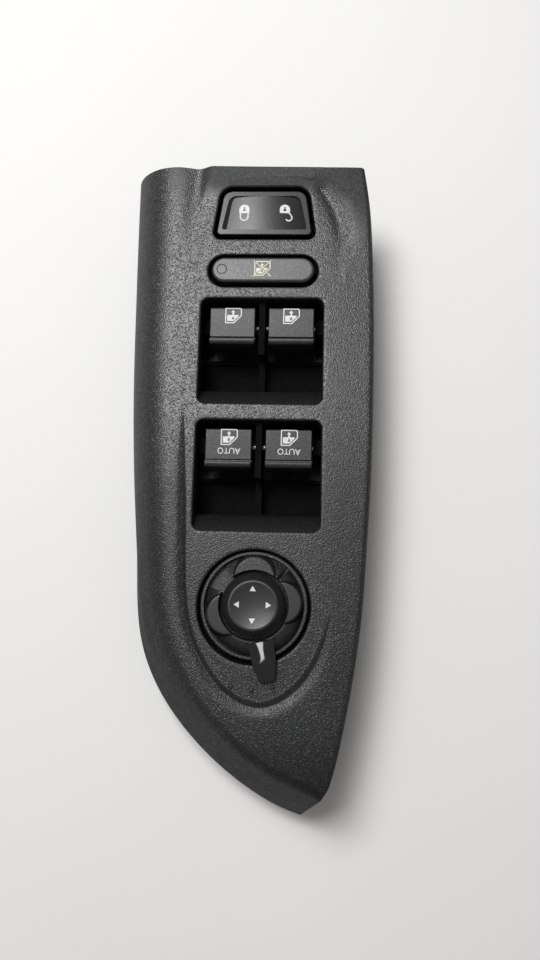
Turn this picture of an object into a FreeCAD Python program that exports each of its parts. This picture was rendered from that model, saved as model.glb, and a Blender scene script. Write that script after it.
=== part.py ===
import FreeCAD, Part
import math
import os

# Driver's door switch panel of a car: a moulded fascia with a rolled shoulder, and under it a switch
# unit with a lock rocker, a lock-out button, four window keys and a mirror selector.
# Millimetres, +Z up out of the door trim, +Y towards the broad end of the panel.
# All sizes below are taken from the middle of the two window openings (x, y) and from the flat
# island that the switches stand in (z = 0). The pieces are shifted to the panel's own origin
# when they are written.

Vec = FreeCAD.Vector
UP = Vec(0, 0, 1)
ALONG_X = Vec(1, 0, 0)
ALONG_Y = Vec(0, 1, 0)

# Fascia
WALL = 2.4
SKIRT_DROP = 24.0
FLANGE_DROP = 5.0
EDGE_RADIUS = 2.0
TOP_END = 99.4
HEAD_START = 45.0
HEAD_RADIUS = 492.0
HEAD_SLANT = 2.1
CREST_SHARE = 0.33
VALLEY_SHARE = 0.03
BROW_SHARE = 0.75
GROOVE_RADIUS = 3.0
GROOVE_DEPTH = 1.2
COLLAR_WALL = 1.6
DOT_RADIUS = 0.9
DOT_SINK = 0.35

# Openings in the island
WINDOW_WIDTH = 48.0
WINDOW_LENGTH = 42.6
WINDOW_PITCH = 49.1
WINDOW_CORNER = 3.0
WINDOW_RETURN = 8.0
SLOPE_RUN = 7.2
SLOPE_DROP = 7.5
SLOPE_WALL = 1.8
LOCK_FRONT = 70.8
LOCK_REAR = 92.4
LOCK_FRONT_HALF = 20.7
LOCK_REAR_HALF = 17.6
LOCKOUT_Y = 57.3
LOCKOUT_LENGTH = 43.5
LOCKOUT_WIDTH = 13.2
BUTTON_GAP = 1.5
MIRROR_Y = -73.2
MIRROR_HOLE_Y = -73.7
MIRROR_HOLE = 20.9

# Switch unit
UNIT_HALF = 28.4
UNIT_FRONT = -98.0
UNIT_REAR = 94.0
UNIT_CORNER = 4.0
UNIT_WALL = 2.0
DECK_TOP = -4.5
UNIT_SPLIT = -25.0
BOARD_TOP = -26.0
BOARD_THICK = 1.6
BOARD_GAP = 0.4
COVER_BOTTOM = -38.0
POST_RADIUS = 3.0
COVER_SCREW_RADIUS = 1.1
EAR_TOP = -12.0
EAR_THICK = 2.5
BOSS_RADIUS = 3.5
PLAY = 0.3
FIT = 0.03
RUN = 0.05

# Window keys
KEY_INNER_GAP = 2.65
KEY_OUTER_GAP = 3.45
KEY_WIDTH = WINDOW_WIDTH / 2 - KEY_INNER_GAP - KEY_OUTER_GAP
KEY_MIDDLE = KEY_INNER_GAP + KEY_WIDTH / 2
KEY_WALL = 1.6
KEY_TOP = -1.9
LIP_TOP = -0.9
LIP_ROLL = 1.6
PIVOT_BEHIND = 12.65
PIVOT_Z = -11.0
AXLE_RADIUS = 1.25
FOOT_SIZE = 2.2
FRONT_FOOT = 6.0
REAR_FOOT = 4.0
PIT_FLOOR = -18.5
PIT_WALL = 1.5
DIVIDER = 2.4

# Contact mat
MAT_THICK = 0.8
DOME_RADIUS = 2.6
DOME_TOP = -23.5
FOOT_GAP = 0.2

# Connector
HEADER_Y = 14.0
HEADER_HALF = 18.0
HEADER_DEPTH = 7.5
HEADER_WALL = 1.4
PIN_HALF = 0.32
PIN_PITCH = 3.6
PIN_COUNT = 8
PIN_ROWS = (HEADER_Y - 2.3, HEADER_Y + 2.3)

# Lock rocker and lock-out button
ROCKER_TOP = 0.5
ROCKER_GAP = 1.4
ROCKER_PIVOT_Z = -7.0
ROCKER_PIN = 1.5
ROCKER_DISH = 1.6
ROCKER_FOOT = 12.0
BUTTON_TOP = 1.3
LENS_X = -16.2
LENS_RADIUS = 2.0

# Mirror selector
RIM_OUTER = 20.1
RING_OUTER = 18.3
RING_INNER = 12.8
TUBE_OUTER = 12.4
TUBE_INNER = 10.6
RIM_TOP = -1.9
CUP_FLOOR = -5.0
CUP_BOTTOM = -8.5
RING_LOW = -4.7
CHANNEL_TOP = -3.4
BASE_PETAL_HALF = 39.0
RING_OPEN_HALF = 56.5
RING_PETAL_ANGLE = 6.0
PETAL_CENTRE = 10.2
PETAL_RADIUS = 7.7
PETAL_TOP = 0.9
SELECTOR_REST = 12.7
SELECTOR_TRAVEL = 28.0
LEVER_REACH = 27.3
KNOB_RADIUS = 9.2
KNOB_TOP = 4.0
SKIRT_RADIUS = 12.0
GIMBAL_Z = -6.0
GIMBAL_PIN = 0.8
GIMBAL_OUTER = 9.0
GIMBAL_INNER = 6.0
STEM_RADIUS = 4.2
STEM_END = -17.4
KNOB_FOOT = 6.5

SCREW_POSTS = [(x, y) for y in (88.0, -51.2, -92.0) for x in (-23.2, 23.2)]
BOSSES = [(-33.5, 66.0), (33.5, 66.0), (-33.5, -22.0), (33.5, -22.0), (4.0, -116.5)]
RAIL_HALF = 1.2
TOWER_LOW = -17.0
CLIP_TOWERS = [(-44.0, 44.0), (-40.2, -40.0), (37.6, 44.0), (36.4, -44.0), (20.0, -124.0)]


def block(x0, x1, y0, y1, z0, z1):
    return Part.makeBox(x1 - x0, y1 - y0, z1 - z0, Vec(x0, y0, z0))


def rod_x(x0, x1, y, z, radius):
    return Part.makeCylinder(radius, x1 - x0, Vec(x0, y, z), ALONG_X)


def rod_y(y0, y1, x, z, radius):
    return Part.makeCylinder(radius, y1 - y0, Vec(x, y0, z), ALONG_Y)


def rod_z(x, y, z0, z1, radius):
    return Part.makeCylinder(radius, z1 - z0, Vec(x, y, z0), UP)


def rounded_loop(corners):
    """Closed wire through (point, radius) corners."""
    marks = []
    count = len(corners)
    for i, (corner, radius) in enumerate(corners):
        if radius == 0:
            marks.append((corner, None, corner))
            continue
        back = (corners[i - 1][0] - corner).normalize()
        ahead = (corners[(i + 1) % count][0] - corner).normalize()
        half = back.getAngle(ahead) / 2
        reach = radius / math.tan(half)
        middle = corner + (back + ahead).normalize() * (radius / math.sin(half) - radius)
        marks.append((corner + back * reach, middle, corner + ahead * reach))
    edges = []
    for i, (start, middle, end) in enumerate(marks):
        if middle is not None:
            edges.append(Part.Arc(start, middle, end).toShape())
        following = marks[(i + 1) % count][0]
        if end.distanceToPoint(following) > 1e-6:
            edges.append(Part.LineSegment(end, following).toShape())
    return Part.Wire(edges)


def plan(corners):
    """Outline seen from above, from (x, y, radius) corners."""
    return rounded_loop([(Vec(x, y, 0), radius) for x, y, radius in corners])


def rectangle(x0, x1, y0, y1, radius):
    return plan([(x0, y0, radius), (x1, y0, radius), (x1, y1, radius), (x0, y1, radius)])


def stadium(x_middle, y_middle, length, width):
    radius = width / 2 - 0.001
    half = length / 2
    return rectangle(x_middle - half, x_middle + half, y_middle - width / 2, y_middle + width / 2, radius)


def slab(outline, z0, z1):
    face = Part.Face(outline)
    face.translate(UP * z0)
    return face.extrude(UP * (z1 - z0))


def grown_slab(outline, by, z0, z1):
    return slab(outline.makeOffset2D(by), z0, z1)


def prism_x(corners, x0, x1):
    """Solid with a (y, z, radius) profile, from x0 to x1."""
    wire = rounded_loop([(Vec(x0, y, z), radius) for y, z, radius in corners])
    return Part.Face(wire).extrude(ALONG_X * (x1 - x0))


def prism_y(corners, y0, y1):
    """Solid with an (x, z, radius) profile, from y0 to y1."""
    wire = rounded_loop([(Vec(x, y0, z), radius) for x, z, radius in corners])
    return Part.Face(wire).extrude(ALONG_Y * (y1 - y0))


def tube(x, y, z0, z1, outer, inner):
    return rod_z(x, y, z0, z1, outer).cut(rod_z(x, y, z0 - 1, z1 + 1, inner))


def mirror_turned(profile, start=0.0, end=360.0):
    """Solid turned about the mirror selector's axis from (radius, z) points, between two angles."""
    corners = [Vec(radius, 0, z) for radius, z in profile]
    solid = Part.Face(Part.makePolygon(corners + corners[:1])).revolve(Vec(0, 0, 0), UP, end - start)
    solid.rotate(Vec(0, 0, 0), UP, start)
    solid.translate(Vec(0, MIRROR_Y, 0))
    return solid


def mirror_sector(inner, outer, start, end, z0, z1):
    return mirror_turned([(inner, z0), (outer, z0), (outer, z1), (inner, z1)], start, end)


def fused(first, *others):
    return first.multiFuse(list(others)).removeSplitter()


def cut_all(solid, *tools):
    return solid.cut(Part.makeCompound(list(tools)) if len(tools) > 1 else tools[0])


def top_edges(solid, z, tolerance=0.01):
    """Edges that lie at height z."""
    found = []
    for edge in solid.Edges:
        box = edge.BoundBox
        if abs(box.ZMin - z) < tolerance and abs(box.ZMax - z) < tolerance:
            found.append(edge)
    return found


# Fascia: each station is a line across the panel, from its right edge to its left edge.
# right x, right y, left x, left y, run of the slope from the left edge, run to the crest of the
# shoulder, depth of the shoulder's round.
STATIONS = [
    (39.6, TOP_END, -55.0, TOP_END + HEAD_SLANT, 1.5, 20.0, 18.0),
    (42.0, 84.0, -54.9, 84.0, 1.5, 20.0, 18.0),
    (43.1, 68.0, -54.7, 68.0, 1.5, 19.6, 18.0),
    (43.8, 45.0, -54.3, 45.0, 1.6, 19.0, 18.0),
    (43.8, 10.0, -53.4, 10.0, 2.0, 18.6, 17.5),
    (43.0, -25.0, -51.6, -25.0, 3.2, 18.3, 16.5),
    (41.3, -55.0, -49.3, -60.0, 5.8, 18.0, 14.0),
    (39.7, -77.0, -46.0, -88.3, 9.5, 18.3, 10.0),
    (37.8, -92.0, -38.2, -106.7, 12.8, 18.8, 7.0),
    (35.6, -105.7, -24.3, -124.5, 14.5, 19.0, 5.0),
    (32.8, -120.0, -3.4, -141.6, 15.5, 19.3, 4.5),
    (30.6, -129.5, 10.7, -149.1, 15.5, 18.6, 4.0),
    (28.8, -135.6, 18.6, -151.8, 13.6, 15.9, 2.6),
]


def head_rise(y):
    return max(0.0, y - HEAD_START) ** 2 / (2 * HEAD_RADIUS)


def station_between(first, second, share):
    return tuple(a + (b - a) * share for a, b in zip(first, second))


def fascia_section(station, inset, sink):
    """Closed section of the panel at one station, shrunk by inset and open below by sink."""
    right_x, right_y, left_x, left_y, slope_run, crest_run, round_depth = station
    left = Vec(left_x, left_y, 0)
    across = Vec(right_x, right_y, 0) - left
    span = across.Length - inset
    across.normalize()
    rise = head_rise((right_y + left_y) / 2)

    def at(run, z):
        return left + across * run + UP * z

    edge = max(EDGE_RADIUS - inset, 0.3)
    flat_end = span - edge
    crest_run = max(crest_run, slope_run + inset + 0.5)
    low_left = at(inset, -SKIRT_DROP - sink)
    corner = at(slope_run + inset, CREST_SHARE * rise - inset)
    crest = at(crest_run, CREST_SHARE * rise - inset)
    valley = at(crest_run + 0.10 * (flat_end - crest_run), VALLEY_SHARE * rise - inset)
    brow = at(crest_run + 0.18 * (flat_end - crest_run), BROW_SHARE * rise - inset)
    right_top = rise - inset
    flat_right = at(flat_end, right_top)
    edge_low = at(span, right_top - edge)
    low_right = at(span, rise - FLANGE_DROP - sink)
    wall = (low_left - corner).normalize()
    wall_start = corner + wall * max(round_depth - inset, 0.3)
    bend = 0.5523
    level = (crest - valley).normalize()
    handle = bend * crest.distanceToPoint(corner)
    shoulder = Part.BezierCurve()
    shoulder.setPoles([crest, crest + level * handle, wall_start + (corner - wall_start) * bend, wall_start])
    edge_middle = at(flat_end + edge * math.sin(math.radians(45)),
                     right_top - edge * (1 - math.cos(math.radians(45))))
    return Part.Wire([
        Part.LineSegment(low_right, edge_low).toShape(),
        Part.Arc(edge_low, edge_middle, flat_right).toShape(),
        Part.LineSegment(flat_right, brow).toShape(),
        Part.LineSegment(brow, valley).toShape(),
        Part.LineSegment(valley, crest).toShape(),
        shoulder.toShape(),
        Part.LineSegment(wall_start, low_left).toShape(),
        Part.LineSegment(low_left, low_right).toShape(),
    ])


def fascia_outer(sink=0.0):
    return Part.makeLoft([fascia_section(station, 0.0, sink) for station in STATIONS], True, False)


def fascia_inner():
    first, second = STATIONS[0], STATIONS[1]
    top = station_between(first, second, WALL / (first[1] - second[1]))
    tip = station_between(STATIONS[-2], STATIONS[-1], 0.5)
    stations = [top] + STATIONS[1:-1] + [tip]
    return Part.makeLoft([fascia_section(station, WALL, 3.0) for station in stations], True, False)


def island_pocket(grow):
    """Sunk island in the raised head of the panel: a tray with sloping walls."""
    start = HEAD_START + 3.0
    height = 5.0
    low = plan([
        (-27.6 - grow, start, 0),
        (32.8 + grow, start, 0),
        (21.0 + grow, 96.6 + grow, 9.0 + grow),
        (-25.0 - grow, 96.6 + grow, 2.0 + grow),
    ])
    high = plan([
        (-36.6 - grow, start, 0),
        (42.2 + grow, start, 0),
        (29.6 + grow, 98.6 + grow, 14.0 + grow),
        (-28.0 - grow, 98.6 + grow, 3.0 + grow),
    ])
    low.translate(UP * (-0.02 - grow))
    high.translate(UP * height)
    return Part.makeLoft([low, high], True, True)


# Middle line of the groove round the lower end of the island, and its height at each point.
# It climbs out of the face at both ends.
GROOVE_LINE = [
    (-29.8, 28.0, 2.2), (-29.6, 14.0, 1.0), (-29.1, -3.0, 0.0), (-28.2, -27.0, 0.0), (-27.2, -52.0, 0.0),
    (-26.0, -73.0, 0.0), (-20.9, -89.9, 0.0), (-13.0, -102.3, 0.0), (-2.5, -109.0, 0.0), (7.0, -108.8, 0.0),
    (16.0, -103.0, 0.0), (23.0, -93.6, 0.0), (26.8, -82.0, 0.6), (28.6, -68.0, 1.9),
]


def groove_tool(radius):
    centre_z = GROOVE_RADIUS - GROOVE_DEPTH
    points = [Vec(x, y, centre_z + lift) for x, y, lift in GROOVE_LINE]
    path = Part.BSplineCurve()
    path.interpolate(points)
    start = path.value(path.FirstParameter)
    heading = path.tangent(path.FirstParameter)[0]
    ring = Part.Wire(Part.Circle(start, heading, radius).toShape())
    return Part.Wire(path.toShape()).makePipeShell([ring], True, True)


def window_outline(middle):
    half = WINDOW_WIDTH / 2
    reach = WINDOW_LENGTH / 2
    return rectangle(-half, half, middle - reach, middle + reach, WINDOW_CORNER)


def window_middles():
    return [WINDOW_PITCH / 2, -WINDOW_PITCH / 2]


def lock_outline():
    return plan([
        (-LOCK_FRONT_HALF, LOCK_FRONT, 3.0),
        (LOCK_FRONT_HALF, LOCK_FRONT, 3.0),
        (LOCK_REAR_HALF, LOCK_REAR, 5.5),
        (-LOCK_REAR_HALF, LOCK_REAR, 5.5),
    ])


def lockout_outline():
    return stadium(0.0, LOCKOUT_Y, LOCKOUT_LENGTH, LOCKOUT_WIDTH)


def mirror_outline():
    return Part.Wire(Part.Circle(Vec(0, MIRROR_HOLE_Y, 0), UP, MIRROR_HOLE).toShape())


def clip_tower(x, y):
    rail = block(x - RAIL_HALF, x + RAIL_HALF, y - 4.5, y + 4.5, TOWER_LOW, -1.2)
    foot = block(x - 3.0, x + 3.0, y - 1.2, y + 1.2, -9.0, -1.2)
    return rail.fuse(foot)


def fascia():
    shell = fascia_outer().cut(island_pocket(0.0))
    room_below = fascia_outer(20.0)
    hollow = fascia_inner().cut(island_pocket(WALL))
    shell = shell.cut(hollow)
    below = block(-60, 60, -120, 40, -12, -0.6)
    backing = groove_tool(GROOVE_RADIUS + 2.0).common(below)
    extras = [backing]
    for outline in (lock_outline(), lockout_outline(), mirror_outline()):
        extras.append(grown_slab(outline, COLLAR_WALL, DECK_TOP + 0.1, -1.0))
    for middle in window_middles():
        extras.append(grown_slab(window_outline(middle), UNIT_WALL, -WINDOW_RETURN, -1.0))
    for x, y in BOSSES:
        extras.append(rod_z(x, y, EAR_TOP, -1.2, BOSS_RADIUS))
    for x, y in CLIP_TOWERS:
        extras.append(clip_tower(x, y).common(room_below))
    for x, y in ((-8.0, -102.4), (-0.2, -103.7), (7.8, -102.6)):
        extras.append(Part.makeSphere(DOT_RADIUS, Vec(x, y, -DOT_SINK)))
    shell = shell.multiFuse(extras)
    tools = [groove_tool(GROOVE_RADIUS)]
    for outline in (lock_outline(), lockout_outline(), mirror_outline()):
        tools.append(slab(outline, -20.0, 5.0))
    for middle in window_middles():
        tools.append(slab(window_outline(middle), -20.0, 5.0))
    for x, y in BOSSES:
        tools.append(rod_z(x, y, EAR_TOP - 1, EAR_TOP + 8, 1.2))
    for tool in tools:
        shell = shell.cut(tool)
    slopes = []
    for middle in window_middles():
        front = middle - WINDOW_LENGTH / 2
        profile = [
            (front, 0.0, 0),
            (front + SLOPE_RUN, -SLOPE_DROP, 0),
            (front + SLOPE_RUN, -SLOPE_DROP - SLOPE_WALL, 0),
            (front - 1.0, -SLOPE_WALL, 0),
        ]
        half = WINDOW_WIDTH / 2 + 0.5
        slopes.append(prism_x(profile, -half, half))
    return shell.multiFuse(slopes)


def fascia_clips():
    clips = []
    gap = RAIL_HALF + RUN
    sheet = 0.5
    for x, y in CLIP_TOWERS:
        low = TOWER_LOW - RUN
        outer = block(x - gap - sheet, x + gap + sheet, y - 4.0, y + 4.0, low - sheet, low + 7.0)
        inner = block(x - gap, x + gap, y - 5.0, y + 5.0, low, low + 8.0)
        clip = outer.cut(inner)
        for side in (-1, 1):
            root = x + side * (gap + sheet)
            barb = prism_y([(root, low + 0.8, 0), (root + side * 1.9, low + 4.4, 0), (root, low + 5.6, 0)],
                           y - 2.0, y + 2.0)
            clip = clip.fuse(barb)
        clips.append(clip.removeSplitter())
    return Part.makeCompound(clips)


# Switch unit housing

def unit_outline():
    return rectangle(-UNIT_HALF, UNIT_HALF, UNIT_FRONT, UNIT_REAR, UNIT_CORNER)


def pivot_y(middle):
    return middle + PIVOT_BEHIND


def switch_carrier():
    outline = unit_outline()
    deck_low = DECK_TOP - UNIT_WALL
    inside = UNIT_HALF - UNIT_WALL
    body = slab(outline, UNIT_SPLIT, DECK_TOP).cut(grown_slab(outline, -UNIT_WALL, UNIT_SPLIT - 1, deck_low))
    for middle in window_middles():
        body = body.cut(grown_slab(window_outline(middle), UNIT_WALL + 0.4, deck_low - 1, DECK_TOP + 1))
    adds = []
    cuts = []
    for middle in window_middles():
        front = middle - WINDOW_LENGTH / 2
        rear = middle + WINDOW_LENGTH / 2
        pit_front = front + SLOPE_RUN
        pit_rear = front + 20.7
        wall = inside + 0.5
        floor_low = PIT_FLOOR - PIT_WALL
        adds.append(block(-wall, wall, pit_front - PIT_WALL, pit_rear + PIT_WALL, floor_low, PIT_FLOOR))
        adds.append(block(-wall, wall, pit_front - PIT_WALL, pit_front, floor_low, -SLOPE_DROP - SLOPE_WALL - PLAY))
        adds.append(block(-wall, wall, pit_rear, pit_rear + PIT_WALL, floor_low, PIT_FLOOR + 1.5))
        adds.append(block(-wall, wall, rear + 0.2, rear + 0.2 + PIT_WALL, -22.0, -WINDOW_RETURN - PLAY))
        half = DIVIDER / 2
        adds.append(block(-half, half, pit_rear, rear - PLAY, -22.0, -3.6))
        adds.append(block(-half, half, rear - 1.0, rear + 0.5, -22.0, -WINDOW_RETURN - PLAY))
        adds.append(block(-half, half, pit_front - 0.5, pit_rear + 0.5, floor_low, -12.0))
        pivot = pivot_y(middle)
        cheek = KEY_MIDDLE + KEY_WIDTH / 2 + 0.55
        for side in (-1, 1):
            x0, x1 = sorted((side * cheek, side * wall))
            adds.append(block(x0, x1, pivot - 3.0, pivot + 3.0, -22.0, PIVOT_Z + AXLE_RADIUS + 0.8))
        cuts.append(rod_x(-cheek - 4.0, cheek + 4.0, pivot, PIVOT_Z, AXLE_RADIUS + FIT))
    sleeve = button_outline()
    sleeve_wall = PLAY + 1.5
    adds.append(grown_slab(sleeve, sleeve_wall, -13.0, deck_low + 0.5))
    cuts.append(grown_slab(sleeve, PLAY, -14.0, DECK_TOP + 1))
    cuts.append(grown_slab(lock_outline(), 0.2, deck_low - 1, DECK_TOP + 1))
    for y0, y1 in ((LOCK_FRONT - 2.4, LOCK_FRONT - 0.1), (LOCK_REAR + 0.1, UNIT_REAR - 0.4)):
        adds.append(block(-4.0, 4.0, y0, y1, -11.0, deck_low + 0.5))
    cuts.append(rod_y(LOCK_FRONT - 3.0, UNIT_REAR - 0.8, 0.0, ROCKER_PIVOT_Z, ROCKER_PIN + RUN))
    cuts.append(rod_z(0.0, MIRROR_Y, deck_low - 1, DECK_TOP + 1, RING_OUTER + 1.3))
    for x, y in SCREW_POSTS:
        adds.append(rod_z(x, y, BOARD_TOP, deck_low + 0.5, POST_RADIUS))
        cuts.append(rod_z(x, y, BOARD_TOP - 1, BOARD_TOP + 9.0, COVER_SCREW_RADIUS + FIT))
    for x, y in BOSSES:
        if abs(x) > UNIT_HALF:
            side = 1 if x > 0 else -1
            x0, x1 = sorted((side * (UNIT_HALF - 0.5), x))
            arm = block(x0, x1, y - BOSS_RADIUS, y + BOSS_RADIUS, EAR_TOP - EAR_THICK, EAR_TOP)
        else:
            arm = block(x - BOSS_RADIUS, x + BOSS_RADIUS, y, UNIT_FRONT + 0.5, EAR_TOP - EAR_THICK, EAR_TOP)
        adds.append(arm.fuse(rod_z(x, y, EAR_TOP - EAR_THICK, EAR_TOP, BOSS_RADIUS)))
        cuts.append(rod_z(x, y, EAR_TOP - EAR_THICK - 1, EAR_TOP + 0.5, 1.7))
    body = body.multiFuse(adds)
    for tool in cuts:
        body = body.cut(tool)
    return body.removeSplitter()


def carrier_screws():
    screws = []
    for x, y in BOSSES:
        seat = EAR_TOP - EAR_THICK
        head = rod_z(x, y, seat - 2.0, seat, 3.0)
        shank = rod_z(x, y, seat, EAR_TOP + 7.0, 1.2 - FIT)
        screws.append(head.fuse(shank).removeSplitter())
    return Part.makeCompound(screws)


def rear_cover():
    outline = unit_outline()
    floor = COVER_BOTTOM + UNIT_WALL
    body = slab(outline, COVER_BOTTOM, UNIT_SPLIT).cut(grown_slab(outline, -UNIT_WALL, floor, UNIT_SPLIT + 1))
    adds = []
    for x, y in SCREW_POSTS:
        adds.append(rod_z(x, y, floor - 0.5, BOARD_TOP - BOARD_THICK, POST_RADIUS))
    body = body.multiFuse(adds)
    for x, y in SCREW_POSTS:
        body = body.cut(rod_z(x, y, COVER_BOTTOM - 1, BOARD_TOP, 1.6))
        body = body.cut(rod_z(x, y, COVER_BOTTOM - 1, COVER_BOTTOM + 2.6, 2.9))
    mouth = rectangle(-HEADER_HALF, HEADER_HALF, HEADER_Y - HEADER_DEPTH, HEADER_Y + HEADER_DEPTH, 1.5)
    body = body.cut(grown_slab(mouth, PLAY, COVER_BOTTOM - 1, floor + 1))
    return body.removeSplitter()


def cover_screws():
    screws = []
    for x, y in SCREW_POSTS:
        seat = COVER_BOTTOM + 2.6
        head = rod_z(x, y, seat - 1.8, seat, 2.6)
        shank = rod_z(x, y, seat, BOARD_TOP + 8.0, COVER_SCREW_RADIUS)
        screws.append(head.fuse(shank).removeSplitter())
    return Part.makeCompound(screws)


# Board, contact mat and connector

def board_outline():
    return unit_outline().makeOffset2D(-UNIT_WALL - BOARD_GAP)


def circuit_board():
    low = BOARD_TOP - BOARD_THICK
    board = slab(board_outline(), low, BOARD_TOP)
    holes = [rod_z(x, y, low - 1, BOARD_TOP + 1, 1.6) for x, y in SCREW_POSTS]
    side = PIN_HALF + FIT
    for x, y in pin_places():
        holes.append(block(x - side, x + side, y - side, y + side, low - 1, BOARD_TOP + 1))
    return cut_all(board, *holes)


def pin_places():
    middle = (PIN_COUNT - 1) / 2
    return [((i - middle) * PIN_PITCH, y) for i in range(PIN_COUNT) for y in PIN_ROWS]


def connector_header():
    top = BOARD_TOP - BOARD_THICK
    outline = rectangle(-HEADER_HALF, HEADER_HALF, HEADER_Y - HEADER_DEPTH, HEADER_Y + HEADER_DEPTH, 1.5)
    body = slab(outline, COVER_BOTTOM + 0.4, top)
    body = body.cut(grown_slab(outline, -HEADER_WALL, COVER_BOTTOM - 1, top - 1.6))
    body = body.cut(block(-3.0, 3.0, HEADER_Y + HEADER_DEPTH - 2.0, HEADER_Y + HEADER_DEPTH + 1,
                          COVER_BOTTOM - 1, COVER_BOTTOM + 5.0))
    side = PIN_HALF + FIT
    holes = [block(x - side, x + side, y - side, y + side, top - 3, top + 1) for x, y in pin_places()]
    return cut_all(body, *holes)


def connector_pins():
    pins = []
    for x, y in pin_places():
        pins.append(block(x - PIN_HALF, x + PIN_HALF, y - PIN_HALF, y + PIN_HALF,
                          COVER_BOTTOM + 3.0, BOARD_TOP + 0.7))
    return Part.makeCompound(pins)


def controller_chip():
    top = BOARD_TOP - BOARD_THICK
    body = block(-5.0, 5.0, -37.0, -27.0, top - 1.6, top - 0.1)
    leads = []
    for i in range(8):
        x = -4.2 + i * 1.2
        leads.append(block(x - 0.2, x + 0.2, -38.2, -25.8, top - 0.5, top))
    return fused(body, *leads)


def dome_places():
    places = []
    for middle in window_middles():
        for side in (-1, 1):
            places.append((side * KEY_MIDDLE, pivot_y(middle) - FRONT_FOOT))
            places.append((side * KEY_MIDDLE, pivot_y(middle) + REAR_FOOT))
    rocker_middle = (LOCK_FRONT + LOCK_REAR) / 2
    places += [(-ROCKER_FOOT, rocker_middle), (ROCKER_FOOT, rocker_middle), (0.0, LOCKOUT_Y)]
    for x, y in ((KNOB_FOOT, 0), (-KNOB_FOOT, 0), (0, KNOB_FOOT), (0, -KNOB_FOOT)):
        places.append((x, MIRROR_Y + y))
    return places


def led_places():
    places = [(side * KEY_MIDDLE, pivot_y(middle) - 1.0) for middle in window_middles() for side in (-1, 1)]
    return places + [(LENS_X, LOCKOUT_Y)]


def dome_mat():
    top = BOARD_TOP + MAT_THICK
    sheet = slab(rectangle(-19.8, 19.8, -24.0, 90.5, 2.0), BOARD_TOP, top)
    neck = block(-6.0, 6.0, MIRROR_Y, -23.0, BOARD_TOP, top)
    pad = rod_z(0.0, MIRROR_Y, BOARD_TOP, top, 9.6)
    domes = []
    for x, y in dome_places():
        domes.append(Part.makeCone(DOME_RADIUS, DOME_RADIUS * 0.6, DOME_TOP - top + 0.2, Vec(x, y, top - 0.2), UP))
    mat = sheet.multiFuse([neck, pad] + domes)
    mat = mat.cut(block(-16.5, 16.5, HEADER_Y - 5.0, HEADER_Y + 5.0, BOARD_TOP - 1, top + 1))
    for x, y in led_places():
        mat = mat.cut(block(x - 1.4, x + 1.4, y - 1.0, y + 1.0, BOARD_TOP - 1, top + 1))
    return mat.removeSplitter()


def backlight_leds():
    leds = [block(x - 0.8, x + 0.8, y - 0.5, y + 0.5, BOARD_TOP, BOARD_TOP + 0.7) for x, y in led_places()]
    return Part.makeCompound(leds)


# Window keys

def key_axle(middle):
    reach = KEY_MIDDLE + KEY_WIDTH / 2 + 4.0
    return rod_x(-reach, reach, pivot_y(middle), PIVOT_Z, AXLE_RADIUS)


def window_key(middle, side):
    """Rocking key: a hollow cap with a raised finger lip, two side bores and two feet."""
    x0 = side * KEY_MIDDLE - KEY_WIDTH / 2
    x1 = x0 + KEY_WIDTH
    rear = middle + 18.25
    lip = middle + 2.9
    profile = [
        (rear, -13.6, 0.8),
        (rear, KEY_TOP, 0.9),
        (lip + 3.5, KEY_TOP - 0.6, 0),
        (lip + 3.2, KEY_TOP - 1.3, 0),
        (lip + 2.8, KEY_TOP - 1.3, 0),
        (lip + 2.4, LIP_TOP, 0.6),
        (lip, LIP_TOP, LIP_ROLL),
        (lip + 0.2, -12.4, 0.6),
    ]
    cap = prism_x(profile, x0, x1)
    rims = []
    for edge in cap.Edges:
        box = edge.BoundBox
        flat = box.XMax - box.XMin < 0.01
        if flat and box.ZMin > KEY_TOP - 1.0 and box.YMax > lip + 3.4:
            rims.append(edge)
    cap = cap.makeFillet(0.45, rims)
    hollow = prism_x([
        (rear - KEY_WALL, -15.0, 0),
        (rear - KEY_WALL, KEY_TOP - KEY_WALL - 0.3, 0),
        (lip + 2.0, KEY_TOP - KEY_WALL - 1.1, 0),
        (lip + 2.0, -15.0, 0),
    ], x0 + KEY_WALL, x1 - KEY_WALL)
    cap = cap.cut(hollow)
    pivot = pivot_y(middle)
    half = FOOT_SIZE / 2
    x = side * KEY_MIDDLE
    feet = []
    for y in (pivot - FRONT_FOOT, pivot + REAR_FOOT):
        feet.append(block(x - half, x + half, y - half, y + half, DOME_TOP + FOOT_GAP, KEY_TOP - KEY_WALL + 0.2))
    cap = cap.multiFuse(feet)
    cap = cap.cut(rod_x(x0 - 1, x1 + 1, pivot, PIVOT_Z, AXLE_RADIUS + RUN))
    return cap.removeSplitter()


# Lock rocker

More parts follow.
